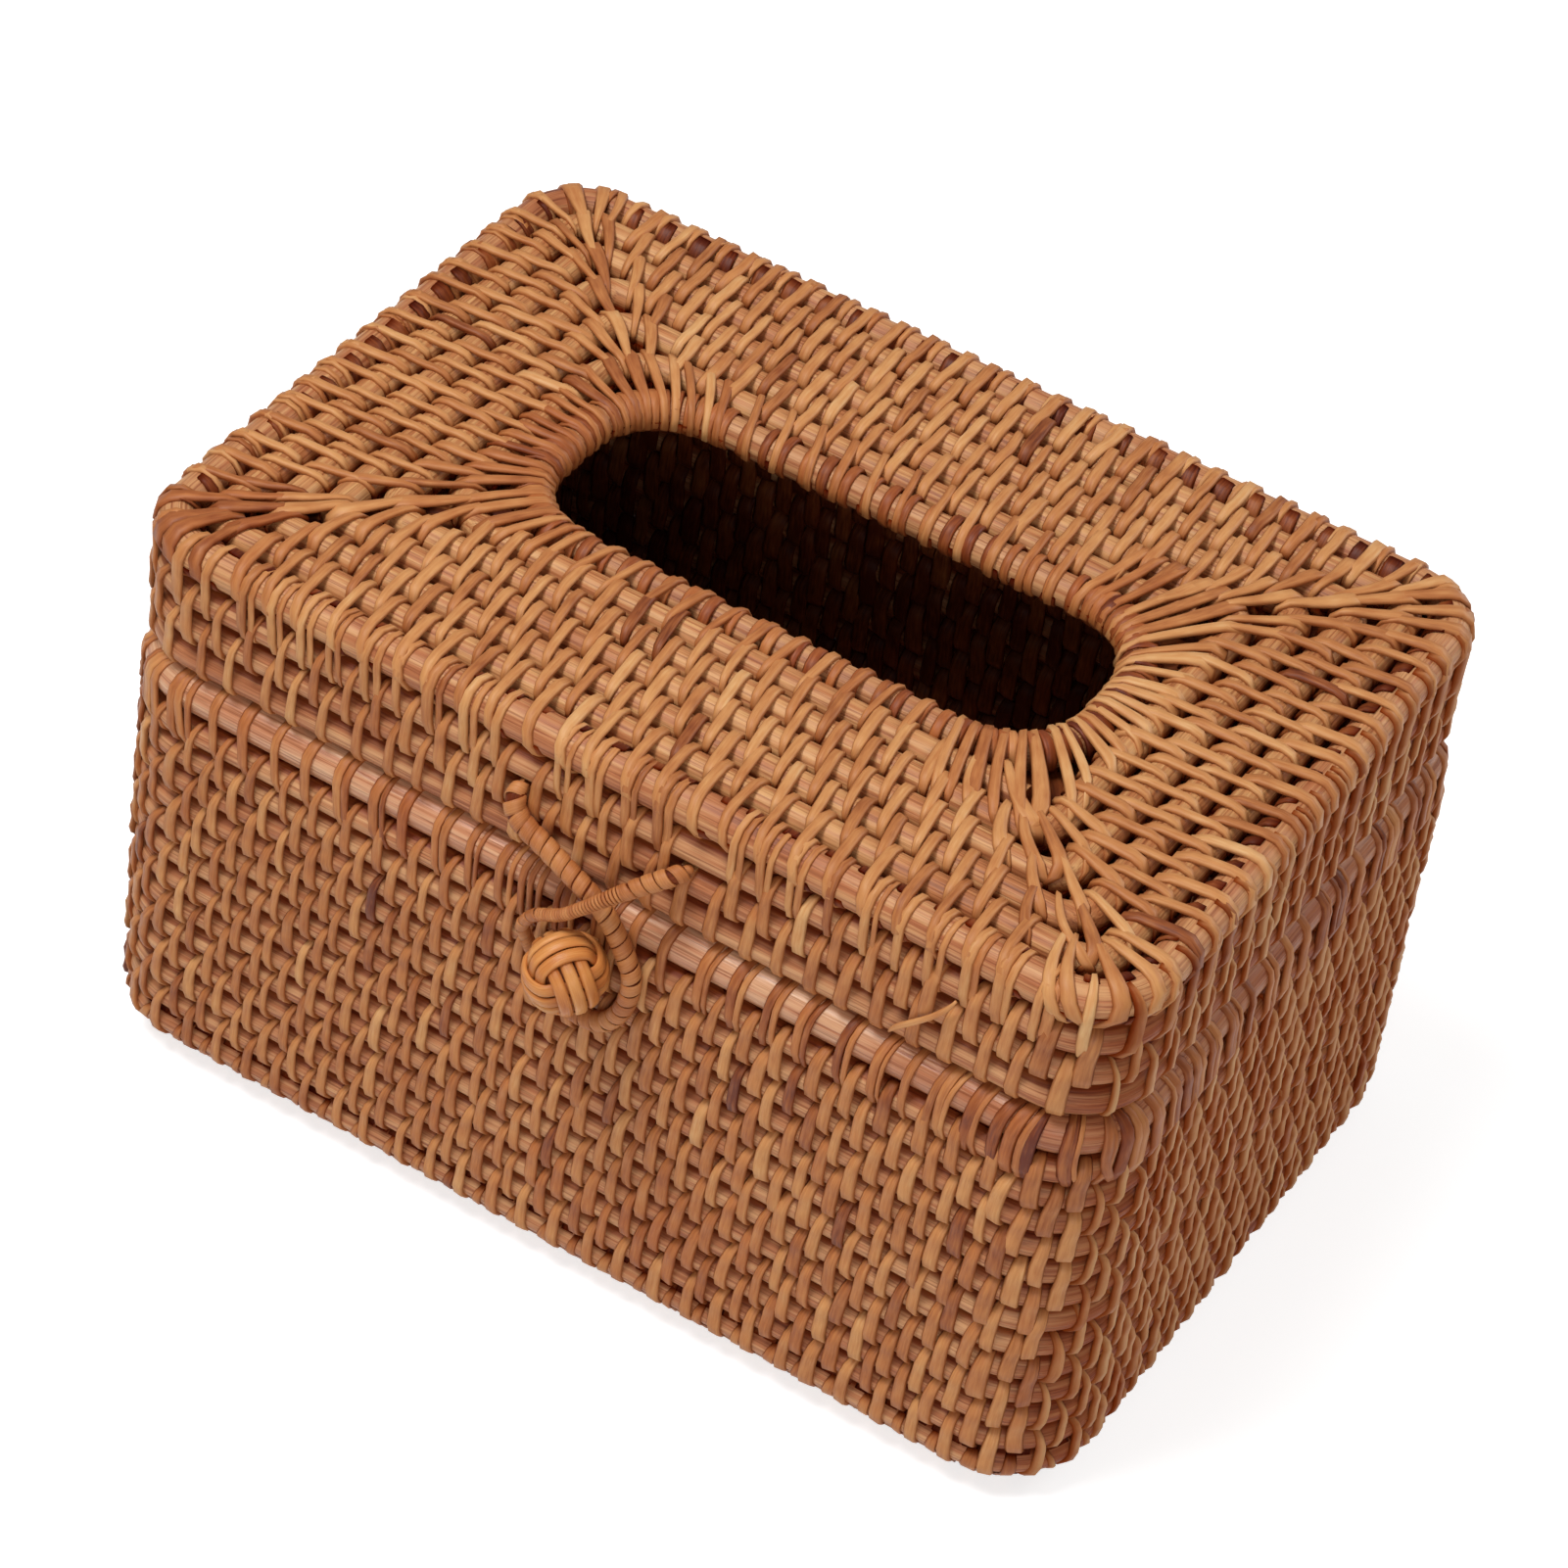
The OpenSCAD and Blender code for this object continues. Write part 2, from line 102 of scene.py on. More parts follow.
class Finish:
    """A material, and short ways to add nodes before its shader. A value is a number, a
    colour, a vector or the socket of another node."""

    def __init__(self, name, roughness):
        self.material = bpy.data.materials.new(name)
        self.material.use_nodes = True
        self.tree = self.material.node_tree
        self.set_up(Roughness=roughness)

    def feed(self, socket, value):
        if isinstance(value, bpy.types.NodeSocket):
            self.tree.links.new(value, socket)
        else:
            socket.default_value = value

    def set_up(self, **values):
        """Inputs of the shader, with _ for a space in their names."""
        for key, value in values.items():
            self.feed(self.tree.nodes["Principled BSDF"].inputs[key.replace("_", " ")], value)

    def add(self, kind, inputs, output=0, **settings):
        """A new node, of which this gives one output."""
        node = self.tree.nodes.new("ShaderNode" + kind)
        for key, value in settings.items():
            setattr(node, key, value)
        for key, value in inputs.items():
            self.feed(node.inputs[key], value)
        return node.outputs[output]

    def parts_of(self, kind, value):
        """The outputs of a node that takes a vector or a colour apart."""
        node = self.tree.nodes.new("ShaderNode" + kind)
        self.feed(node.inputs[0], value)
        return list(node.outputs)

    def sum_of(self, kind, first, second=0.0):
        """A sum of two values, of the kind that Blender calls by this name."""
        return self.add("Math", {0: first, 1: second}, operation=kind)

    def tinted(self, factor, shade, tint):
        """A shade multiplied by a tint, as far as factor says."""
        return self.add("Mix", {"Factor": factor, "A": shade, "B": tint}, "Result",
                        data_type="RGBA", blend_type="MULTIPLY")

    def ramp(self, value, stops):
        """A colour picked by a value from stops, which are (value, colour)."""
        node = self.tree.nodes.new("ShaderNodeValToRGB")
        elements = node.color_ramp.elements
        for element, (spot, shade) in zip(elements, (stops[0], stops[-1])):
            element.position, element.color = spot, shade
        for spot, shade in stops[1:-1]:
            elements.new(spot).color = shade
        self.feed(node.inputs[0], value)
        return node.outputs[0]

    def noise(self, place, scale, detail, rough):
        stretched = self.add("VectorMath", {0: place, 1: scale}, operation="MULTIPLY")
        return self.add("TexNoise", {"Vector": stretched, "Scale": 1, "Detail": detail,
                                     "Roughness": rough}, "Fac")

    def done(self, shade, gleam, relief, strength, height):
        """The material, given its colour, how much it reflects and its relief."""
        bump = self.add("Bump", {"Strength": strength, "Distance": height, "Height": relief})
        self.set_up(Base_Color=shade, Specular_IOR_Level=gleam, Normal=bump)
        return self.material


def rod_material(name, core_x, core_y, light, dark, roughness=0.5, middle_x=0.0, painted_shade=None):
    """Peeled rattan whose pores follow the rings. core_x and core_y are half sizes of the
    rectangle that the corner bends turn about, and 0 for core_y gives mitred rings. The last
    argument says where painted shade goes: "upright" or "flat" for rods that stand on each other
    or lie side by side, whose sides are painted darker brown in the grooves as painted shade, or
    "right end" for the rim, which is darker towards that end. With any of them, faces that look
    right get painted shade and less reflection."""
    rod = Finish(name, roughness)
    sum_of = rod.sum_of
    x, y, z = rod.parts_of("SeparateXYZ", rod.add("TexCoord", {}, "Object"))
    # Distance out from the core rectangle: level curves that run along every ring
    out_x = sum_of("SUBTRACT", sum_of("ABSOLUTE", sum_of("SUBTRACT", x, middle_x)), core_x)
    out_y = sum_of("SUBTRACT", sum_of("ABSOLUTE", y), core_y)
    if core_y:
        far_x, far_y = sum_of("MAXIMUM", out_x), sum_of("MAXIMUM", out_y)
        ring_out = sum_of("SQRT", sum_of("ADD", sum_of("MULTIPLY", far_x, far_x),
                                         sum_of("MULTIPLY", far_y, far_y)))
    else:
        ring_out = sum_of("MAXIMUM", out_x, out_y)
    section = rod.add("CombineXYZ", {0: ring_out, 1: z, 2: sum_of("ADD", x, y)})

    def grain(across, lengthways, detail):
        return rod.noise(section, (across, across, lengthways), detail, 0.6)

    pores, fibres, patches = grain(2100, 55, 2), grain(900, 16, 3), grain(60, 28, 2)
    middle = [0.55 * d + 0.45 * l + shift for d, l, shift in zip(dark, light, (8, -2, -2))]
    tone = sum_of("ADD", sum_of("MULTIPLY", fibres, 0.62), sum_of("MULTIPLY", patches, 0.38))
    shade = rod.ramp(tone, [(0.33, colour(*dark)), (0.44, colour(*middle)), (0.60, colour(*light))])
    lines = rod.ramp(pores, [(0.34, (0.42, 0.22, 0.13, 1)), (0.5, (1, 1, 1, 1))])
    shade = rod.tinted(0.62, shade, lines)
    gleam = 0.35
    if painted_shade:
        rightward, _, upward = rod.parts_of("SeparateXYZ", rod.add("TexCoord", {}, "Normal"))
        steep = sum_of("ABSOLUTE", upward)
        source, start, stop, right_face_shade, groove = {
            "upright": (steep, 0.5, 0.95, 0.85, (0.52, 0.23, 0.10, 1)),
            "flat": (steep, 0.5, 0.0, 0.0, (0.58, 0.33, 0.21, 1)),
            "right end": (x, 0.02, 0.15, 0.9, (0.58, 0.36, 0.24, 1))}[painted_shade]
        # Painted shade in the grooves between rods, or for the rim a darker colour towards its right end
        edge = rod.add("MapRange", {"Value": source, "From Min": start, "From Max": stop}, "Result",
                       interpolation_type="SMOOTHSTEP")
        # Painted shade: faces that look right are painted a good deal darker than the others and lose some
        # of their reflection, as if in shadow
        painted_right_face = sum_of("MULTIPLY", sum_of("MAXIMUM", rightward), right_face_shade)
        shade = rod.tinted(sum_of("MAXIMUM", edge, painted_right_face), shade, groove)
        gleam = sum_of("SUBTRACT", gleam, sum_of("MULTIPLY", painted_right_face, 0.28))
    relief = sum_of("ADD", sum_of("MULTIPLY", pores, 0.6), fibres)
    return rod.done(shade, gleam, relief, 0.55, 0.35 * mm)


wall_core = (100.3 * mm, 62.7 * mm)
coil_half = 37.6 * mm
round_rod = rod_material("peeled rattan", *wall_core, (214, 160, 112), (146, 82, 46),
                         painted_shade="upright")
edge_rattan = rod_material("peeled rattan, edge", *wall_core, (210, 154, 104), (144, 80, 46))
mitre_rod = rod_material("peeled rattan, mitred", coil_half, 0.0, (216, 162, 106), (150, 88, 48),
                         painted_shade="flat")
slot_rattan = rod_material("rattan of the slot", 45.7 * mm, 6.2 * mm, (204, 148, 100), (136, 80, 46),
                           middle_x=3.3 * mm)
rim_rattan = rod_material("polished rattan", 100.5 * mm, 62.9 * mm, (226, 178, 138), (166, 104, 68),
                          0.3, painted_shade="right end")
finishes = {"wall_rod": round_rod, "skirt_rod": round_rod, "edge_rod": edge_rattan, "rim_rod": rim_rattan,
            "slot_rod": slot_rattan, "top_rod": mitre_rod, "base_coil": mitre_rod}
for name, piece in nodes.items():
    for kind, material in finishes.items():
        if name.startswith(kind):
            piece.data.materials.clear()
            piece.data.materials.append(material)


# Split cane
# All rings are tied to each other by strips of split cane, each laid over two rods from the
# groove before the first to the groove after the second.
def ring_of(node, bend, x_right=None):
    """The centre line of a CAD ring, and the radius of its rod."""
    low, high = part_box(node)
    radius = (high.z - low.z) / 2
    return {"left": -low.x - radius, "right": (high.x - radius) if x_right is None else x_right,
            "half": high.y - radius, "bend": bend, "z": (low.z + high.z) / 2, "radius": radius}


side_along = np.array([(1, 0), (0, 1), (-1, 0), (0, -1)], float)
side_out = np.array([(0, -1), (1, 0), (0, 1), (-1, 0)], float)


def side_reach(ring, side):
    """Reach of a side before and after its middle, and its distance from the box's middle."""
    table = [("left", "right", "half"), ("half", "half", "right"),
             ("right", "left", "half"), ("half", "half", "left")]
    return [ring[key] for key in table[side]]


def on_ring(ring, side, run):
    """Points and headings of a ring at distances along one side from its middle. Past its
    straight part a side bends on round the corner. Side 0 is the front, 1 the right."""
    before, after, depth = side_reach(ring, side)
    bend = ring["bend"]
    past = np.maximum(run - (after - bend), 0)
    short = np.maximum(-(before - bend) - run, 0)
    turn_past, turn_short = np.minimum(past / bend, np.pi / 2), np.minimum(short / bend, np.pi / 2)
    along = (np.clip(run, -(before - bend), after - bend) + bend * np.sin(turn_past)
             - bend * np.sin(turn_short))
    out = (depth - bend * (1 - np.cos(turn_past)) - bend * (1 - np.cos(turn_short))
           - (past - turn_past * bend) - (short - turn_short * bend))
    heading = turn_past - turn_short
    place = along[..., None] * side_along[side] + out[..., None] * side_out[side]
    tangent = (np.cos(heading)[..., None] * side_along[side]
               - np.sin(heading)[..., None] * side_out[side])
    flat = np.zeros(run.shape + (1,))
    return (np.concatenate([place, flat + ring["z"]], -1), np.concatenate([tangent, flat], -1))


def side_ends(ring, side):
    """Distances along a side at which the diagonals of its two corners cross the ring."""
    before, after, _ = side_reach(ring, side)
    arc = ring["bend"] * np.pi / 4
    return -(before - ring["bend"] + arc), after - ring["bend"] + arc


def matched(inner, outer, side, fan=0.0):
    """Function that takes a distance along the inner ring's side to the outer ring's. With no
    fan the corners' arcs stretch alike, else the last stretch before each diagonal fans out."""
    i_before, i_after, _ = side_reach(inner, side)
    o_before, o_after, _ = side_reach(outer, side)
    ends_in, ends_out = side_ends(inner, side), side_ends(outer, side)
    if not fan:
        knots_in = [2 * ends_in[0] + i_before - inner["bend"], -(i_before - inner["bend"]),
                    i_after - inner["bend"], 2 * ends_in[1] - (i_after - inner["bend"])]
        knots_out = [2 * ends_out[0] + o_before - outer["bend"], -(o_before - outer["bend"]),
                     o_after - outer["bend"], 2 * ends_out[1] - (o_after - outer["bend"])]
        return lambda run: np.interp(run, knots_in, knots_out)

    def fanned(run):
        high = np.clip((run - (ends_in[1] - fan)) / fan, 0, 1.4)
        low = np.clip(((ends_in[0] + fan) - run) / fan, 0, 1.4)
        return (run + (ends_out[1] - ends_in[1]) * high ** 2
                - (ends_in[0] - ends_out[0]) * low ** 2)
    return fanned


# One strip of cane, modelled once: flat on top with rounded shoulders, flat underneath, cut
# across into short lengths
bpy.ops.mesh.primitive_cylinder_add(vertices=6, radius=1, depth=1, location=(0, 0, 0.5),
                                    rotation=(0, 0, math.pi / 6))
strip = bpy.context.object
strip.name = "cane strip"
bpy.ops.object.mode_set(mode="EDIT")
bpy.ops.mesh.select_mode(type="EDGE")
bpy.ops.mesh.select_all(action="DESELECT")
edit = bmesh.from_edit_mesh(strip.data)
for edge in edit.edges:
    edge.select = abs(edge.verts[0].co.z - edge.verts[1].co.z) > 0.5
bmesh.update_edit_mesh(strip.data)
bpy.ops.mesh.subdivide(number_cuts=9)
bpy.ops.object.mode_set(mode="OBJECT")
strip_at = np.array([strip.matrix_world @ v.co for v in strip.data.vertices])
strip_side, strip_rise, strip_run = strip_at[:, 0], strip_at[:, 1], strip_at[:, 2]
strip_side = np.sign(strip_side) * np.interp(np.abs(strip_side), [0, 0.5, 1], [0, 0.7, 1])
strip_rise = np.interp(strip_rise, [-0.866, 0, 0.866], [-0.25, 0.42, 1])
strip_faces = [list(face.vertices) for face in strip.data.polygons]
bpy.data.objects.remove(strip)


def belt(gap, first, second, start, stop, sag, share):
    """A strip laid over two rods, seen along them: place across and out, and its normal, at a
    share of its length. start and stop are how far it goes round each rod."""
    lean = np.arcsin(np.clip((first - second) / gap, -0.9, 0.9))
    over_first, bridge, over_second = first * (start + lean), gap * np.cos(lean), second * (stop - lean)
    length = over_first + bridge + over_second
    reached = share * length
    on_first, on_second = reached < over_first, reached > over_first + bridge
    angle = np.where(on_first, -start + reached / first,
                     np.where(on_second, lean + (reached - over_first - bridge) / second, lean))
    sine, cosine = np.sin(angle), np.cos(angle)
    part = np.clip((reached - over_first) / bridge, 0, 1)
    radius = first + (second - first) * part
    across = part * gap + radius * sine
    out = radius * cosine - sag * np.sin(np.pi * part) ** 2
    return across, out, sine, cosine, length


def lay_strips(name, inner, outer, at, look, body, seed, maps=None, inward=False):
    """A row of stitches over two rings, as one mesh. at lists (side, distance) of each stitch,
    look says how they lie, and maps has a function for each side that takes a distance along
    the inner ring to the outer ring's. Sizes in look are in millimetres."""
    dice = np.random.RandomState(seed)
    count = len(at)
    sides, runs = np.array([a[0] for a in at]), np.array([a[1] for a in at], float)
    maps = maps or [matched(inner, outer, side) for side in range(4)]

    def vary(key, default=0.0):
        value = look.get(key, default)
        if callable(value):
            return value(sides, runs, dice)[:, None]
        middle, spread = value if isinstance(value, tuple) else (value, 0.0)
        return (middle + spread * dice.normal(size=count).clip(-2, 2))[:, None]

    width, thick = vary("width") * mm / 2, vary("thick") * mm
    lean, bow, hook, skew = (vary(k) * mm for k in ("lean", "bow", "hook", "shift"))
    twist, sag = vary("twist"), vary("sag", 0.25) * mm
    start, stop = vary("start"), vary("stop")
    share = strip_run[None, :] + np.zeros((count, 1))
    profile = look.get("profile", ([0, .12, .45, .72, .9, 1], [.8, .95, 1, 1.05, .8, .45]))
    widths = np.interp(share, *profile)
    if "blunt" in look:
        blunt = vary("blunt")
        widths = (1 - blunt) * widths + blunt * np.interp(share, *look["blunt_profile"])
    heights = np.interp(share, *look.get("heights", ([0, .1, .85, 1], [.7, 1, 1, .5])))
    side_shift = (lean * (0.5 - share) + bow * (4 * share * (1 - share) - 0.6)
                  + hook * np.clip((share - 0.72) / 0.28, 0, 1) ** 2 + skew)
    lateral = width * widths * strip_side[None, :]
    place = np.zeros((count, len(strip_side), 3))
    lengths = np.zeros((count, 1))
    clearance = 0.05 * mm
    for side in range(4):
        chosen = sides == side
        if not chosen.any():
            continue
        run = runs[chosen, None] + side_shift[chosen] + lateral[chosen]
        centre, tangent = on_ring(inner, side, run)
        far, far_tangent = on_ring(outer, side, maps[side](run))
        tangent = tangent + far_tangent
        tangent /= np.linalg.norm(tangent, axis=-1, keepdims=True)
        step = far - centre
        gap = np.linalg.norm(step, axis=-1)
        step /= gap[..., None]
        normal = np.cross(step, tangent)
        square = np.linalg.norm(normal, axis=-1)
        normal /= square[..., None]
        square = np.clip(square, 0.45, 1)
        if inward:
            normal = -normal
        over, out, sine, cosine, length = belt(
            gap * square, inner["radius"] + clearance, outer["radius"] + clearance,
            start[chosen], stop[chosen], sag[chosen], share[chosen])
        rise = (strip_rise[None, :] * thick[chosen] * heights[chosen]
                + twist[chosen] * strip_side[None, :] * width[chosen] * widths[chosen])
        over = (over + sine * rise) / square
        out = out + cosine * rise
        place[chosen] = centre + over[..., None] * step + out[..., None] * normal
        lengths[chosen] = length.mean(axis=1, keepdims=True)
    tone = np.clip(vary("tone"), 0, 1)
    red = np.clip(vary("red"), 0, 1)
    # Painted shade: each strip is painted darker towards both ends, where it goes down between the rods,
    # over a length set by dark, and towards its edges
    dark = vary("dark", 1.0) * mm
    depth = (np.interp(share * lengths / dark, [0, 1.5, 3], [0, .7, 1])
             * np.interp((1 - share) * lengths / dark, [0, 1.6, 3.8], [0, .7, 1])
             * np.interp(np.abs(strip_side), [0, .8, 1], [1, 1, .5])[None, :])
    # The fourth value is a number of the strip's own
    own = dice.uniform(size=(count, 1))
    tint = np.stack(np.broadcast_arrays(tone, red, depth, own), -1).reshape(-1, 4)
    uv = np.stack([strip_side[None, :] * width / mm * 0.5 + 3.7 * dice.uniform(size=(count, 1)),
                   share * lengths / mm + 40 * dice.uniform(size=(count, 1))], -1).reshape(-1, 2)
    # Painted shade: a strip that stands on one edge is painted darker along its lower edge
    tint[:, 2] *= (1 - vary("shaded") * (0.5 - 0.5 * strip_side[None, :])).clip(0, 1).ravel()
    faces = strip_faces if not inward else [face[::-1] for face in strip_faces]
    return cane_mesh(name, place.reshape(-1, 3), faces, count, tint, uv, body)


def cane_mesh(name, points, faces, count, tint, uv, body):
    """A mesh of many strips that share one list of faces, with their colours and fibres."""
    per_copy = len(points) // count
    corners = np.concatenate([np.array(face) for face in faces])
    sizes = np.array([len(face) for face in faces])
    loops = (corners[None, :] + per_copy * np.arange(count)[:, None]).ravel()
    totals = np.tile(sizes, count)
    mesh = bpy.data.meshes.new(name)
    mesh.vertices.add(len(points))
    mesh.vertices.foreach_set("co", points.ravel())
    mesh.loops.add(len(loops))
    mesh.loops.foreach_set("vertex_index", loops)
    mesh.polygons.add(len(totals))
    mesh.polygons.foreach_set("loop_start", np.concatenate([[0], np.cumsum(totals)[:-1]]))
    mesh.polygons.foreach_set("use_smooth", np.ones(len(totals), bool))
    mesh.update(calc_edges=True)
    mesh.uv_layers.new(name="fibre").data.foreach_set("uv", uv[loops].ravel())
    mesh.attributes.new("tint", "FLOAT_COLOR", "POINT").data.foreach_set("color", tint.ravel())
    piece = bpy.data.objects.new(name, mesh)
    bpy.context.scene.collection.objects.link(piece)
    mesh.materials.append(cane)
    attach(piece, body)
    return piece


cane_shades = ((104, 44, 18), (150, 82, 40), (190, 122, 69), (212, 151, 93), (232, 187, 131))


def cane_material(name, roughness, shades=cane_shades):
    """Split cane: fibres along the strip, a colour of its own for every strip, and painted shade
    where the strip goes down between the rods, along its edges and in other shaded places."""
    skin = Finish(name, roughness)
    sum_of = skin.sum_of
    fibre = skin.add("UVMap", {}, uv_map="fibre")
    tint = skin.add("Attribute", {}, "Color", attribute_name="tint")
    own_tone, ruddy, lit = skin.parts_of("SeparateColor", tint)
    streaks, blotch = (skin.noise(fibre, scale, detail, 0.55)
                       for scale, detail in (((3.4, 0.16, 1), 3), ((0.3, 0.11, 1), 2)))
    # Tone of the strip, moved a little by its streaks and blotches
    tone = sum_of("ADD", own_tone,
                  sum_of("ADD", sum_of("MULTIPLY", sum_of("SUBTRACT", streaks, 0.5), 0.55),
                         sum_of("MULTIPLY", sum_of("SUBTRACT", blotch, 0.5), 0.5)))
    spots = (0, 0.18, 0.45, 0.7, 1)
    shade = skin.ramp(tone, [(spot, colour(*shade)) for spot, shade in zip(spots, shades)])
    shade = skin.tinted(sum_of("MULTIPLY", ruddy, 0.9), shade, (0.80, 0.55, 0.41, 1))
    # Painted shade: darker and redder where the tint's third value is low
    shade = skin.tinted(sum_of("SUBTRACT", 1.0, lit), shade, (0.40, 0.15, 0.06, 1))
    # Down between the rods no light reaches the cane that it could throw back
    return skin.done(shade, sum_of("MULTIPLY", lit, 0.33), streaks, 0.5, 0.25 * mm)


cane = cane_material("split cane", 0.5)
# Strips inside the box, under the lid's top and under the base get a dark tone: painted shade for the dim
# inside
inner_look = {"width": (4.3, 0.25), "thick": (0.6, 0.05), "lean": (0.0, 0.8), "bow": (0.0, 0.4),
              "twist": (0.0, 0.1), "tone": (0.12, 0.09), "red": (0.5, 0.2), "start": 1.6, "stop": 1.5}


def round_positions(ring, pitch, phase, dice):
    """Stitches evenly round a whole ring, as (side, distance from the side's middle)."""
    ends = [side_ends(ring, side) for side in range(4)]
    lengths = [high - low for low, high in ends]
    total = sum(lengths)
    count = round(total / pitch)
    at = []
    for i in range(count):
        run = (i + phase) * total / count + dice.normal() * 0.5 * mm
        side = 0
        while side < 3 and run > lengths[side]:
            run -= lengths[side]
            side += 1
        at.append((side, ends[side][0] + run))
    return at


def fanned_positions(inner, side, across, pitch, phase, dice):
    """Stitches along one side of a mitred ring, evenly between this ring and the next."""
    low, high = side_ends(inner, side)
    table = np.linspace(low, high, 300)
    middle = (table + across(table)) / 2
    room = 0.55 * pitch
    steps = np.arange(math.ceil((middle[0] + room) / pitch - phase),
                      math.floor((middle[-1] - room) / pitch - phase) + 1)
    places = list((steps + phase) * pitch)
    if places[0] - middle[0] > 1.15 * pitch:
        places.insert(0, (middle[0] + places[0]) / 2)
    if middle[-1] - places[-1] > 1.15 * pitch:
        places.append((middle[-1] + places[-1]) / 2)
    runs = np.interp(places, middle, table)
    return [(side, run + dice.normal() * 0.45 * mm) for run in runs]


def corner_positions(ring, side, far):
    """Stitches close to both ends of a side, where the mitres would leave holes."""
    low, high = side_ends(ring, side)
    return [(side, run) for run in (low + 0.8 * mm, low + far, high - far, high - 0.8 * mm)]


# Base binding
# The base is one rod coiled flat, each turn tied to the one before. The strips show inside the
# box and underneath, where the box stands on them.
base_turns, base_width = 11, 154.4 * mm
coil_pitch = base_width / 2 / base_turns
coil_z, coil_radius, under_radius, almost_none = 2.66 * mm, 3.16 * mm, 2.62 * mm, 0.1 * mm
base_rings = [{"left": coil_half + turn * coil_pitch, "right": coil_half + turn * coil_pitch,
               "half": turn * coil_pitch if turn else almost_none,
               "bend": (3.5 + 1.09 * (turn - 1)) * mm if turn else almost_none,
               "z": coil_z, "radius": coil_radius} for turn in range(base_turns + 1)]
for face in ("inside", "underside"):
    for turn in range(base_turns):
        inner, outer = dict(base_rings[turn]), dict(base_rings[turn + 1])
        if face == "underside":
            inner["radius"] = outer["radius"] = under_radius
        dice = np.random.RandomState(50 + turn)
        maps, at = {}, []
        for side in range(4):
            low, high = side_ends(inner, side)
            maps[side] = matched(inner, outer, side, fan=min(20 * mm, 0.45 * (high - low) + 1e-6))
            if turn or side in (0, 2):
                at += fanned_positions(inner, side, maps[side], 8.6 * mm, 0.5 * (turn % 2), dice)
            if turn > 1:
                at += corner_positions(inner, side, 3.4 * mm)
        lay_strips("base_binding_%s_%02d" % (face, turn + 1), inner, outer, at,
                   dict(inner_look, thick=(0.5, 0.04)), "body", 60 + turn, maps,
                   inward=face == "underside")


# Wall binding
# Each ring is tied to the one below it by a strip of split cane, one stitch every 8 mm.
# A stitch comes out of the groove above its upper rod, lies flat over both rods, and dives
# into the groove under the lower one, between the stitches of the next row.
wall_rings = [ring_of("wall_rod_%02d" % i, 18.5 * mm) for i in range(1, 14)]
wall_pitch = 8.1 * mm


def wall_tone(level):
    """Strips of one row come from one hank of cane, so a row has its own tone, with patches
    and now and then a dark strip."""
    def tone(sides, runs, dice):
        drift = np.sin(runs * 41 + sides * 2.1 + level * 1.7) * 0.05
        odd = np.where(dice.uniform(size=len(runs)) < 0.06, -0.27, 0)
        # Painted light: strips on the right face are painted lighter, for how that face is lit
        painted_right_face = np.where(sides == 1, 0.40, 0)
        row = 0.5 + 0.05 * math.sin(level * 2.4)
        return row + drift + odd + painted_right_face + 0.085 * dice.normal(size=len(runs))
    return tone


def wall_red(level):
    def red(sides, runs, dice):
        # The extra 0.32 on the right face is painted shade, redder and darker
        amount = (0.2 + 0.12 * np.sin(runs * 23 + level * 2.9 + sides) + 0.32 * (sides == 1)
                  + 0.12 * dice.normal(size=len(runs)))
        # A ruddy hank was used low on the front, right of the middle
        patch = np.exp(-((runs - 0.02) / 0.035) ** 2 - ((level - 2.5) / 2.2) ** 2) * (sides == 0)
        return (amount + 0.5 * patch).clip(0, 1)
    return red


def by_side(front, right, back, left, spread):
    """A quantity with its own middle on each side of the box."""
    def pick(sides, runs, dice):
        return np.array([front, right, back, left])[sides] + spread * dice.normal(size=len(runs))
    return pick


def wall_bow(sides, runs, dice):
    """At the left end of the front the stitches bow like an opening bracket, on the right the
    other way round."""
    front = np.interp(runs, [-0.12, -0.03, 0.12], [-2.2, -1.3, -0.4])
    bow = np.where(sides == 0, front, np.where(sides == 1, 1.7, np.where(sides == 2, -0.8, 0.6)))
    return bow + 0.25 * dice.normal(size=len(runs))


def wall_width(sides, runs, dice):
    """The cane is slimmer at the left end and on the two short sides."""
    front = np.interp(runs, [-0.12, -0.02, 0.07], [2.3, 2.7, 3.05])
    middle = np.where(sides == 0, front, np.array([2.7, 1.65, 2.8, 2.3])[sides])
    return middle + 0.25 * dice.normal(size=len(runs)).clip(-2, 2)


def wall_thick(sides, runs, dice):
    return np.where(sides == 1, 0.9, 0.95) + 0.07 * dice.normal(size=len(runs))


def wall_blunt(sides, runs, dice):
    """Towards the right end of the front the stitches are broad and square."""
    front = np.interp(runs, [-0.10, 0.0, 0.09], [0.0, 0.3, 1.0])
    return (np.where(sides == 0, front, 0.4) + 0.15 * dice.normal(size=len(runs))).clip(0, 1)


pointed = ([0, .1, .22, .4, .6, .78, .9, 1], [.5, .66, .8, .95, 1.05, 1.02, .66, .24])
blunt = ([0, .1, .3, .7, .86, .94, 1], [.72, .84, .95, 1.08, 1.06, .9, .5])
wall_look = {"width": wall_width, "thick": wall_thick, "dark": by_side(1, 1.8, 1, 1, 0),
             "lean": by_side(1.0, 0.6, 1.0, 2.0, 0.5),
             "bow": wall_bow, "hook": by_side(1.0, -2.0, 0.9, -0.6, 0.4),
             "twist": by_side(0.05, 0.36, 0.05, 0.2, 0.1), "shaded": by_side(0, 0.9, 0, 0.3, 0.05),
             "sag": (0.3, 0.1), "start": 1.6, "stop": 1.5, "profile": pointed,
             "blunt": wall_blunt, "blunt_profile": blunt}
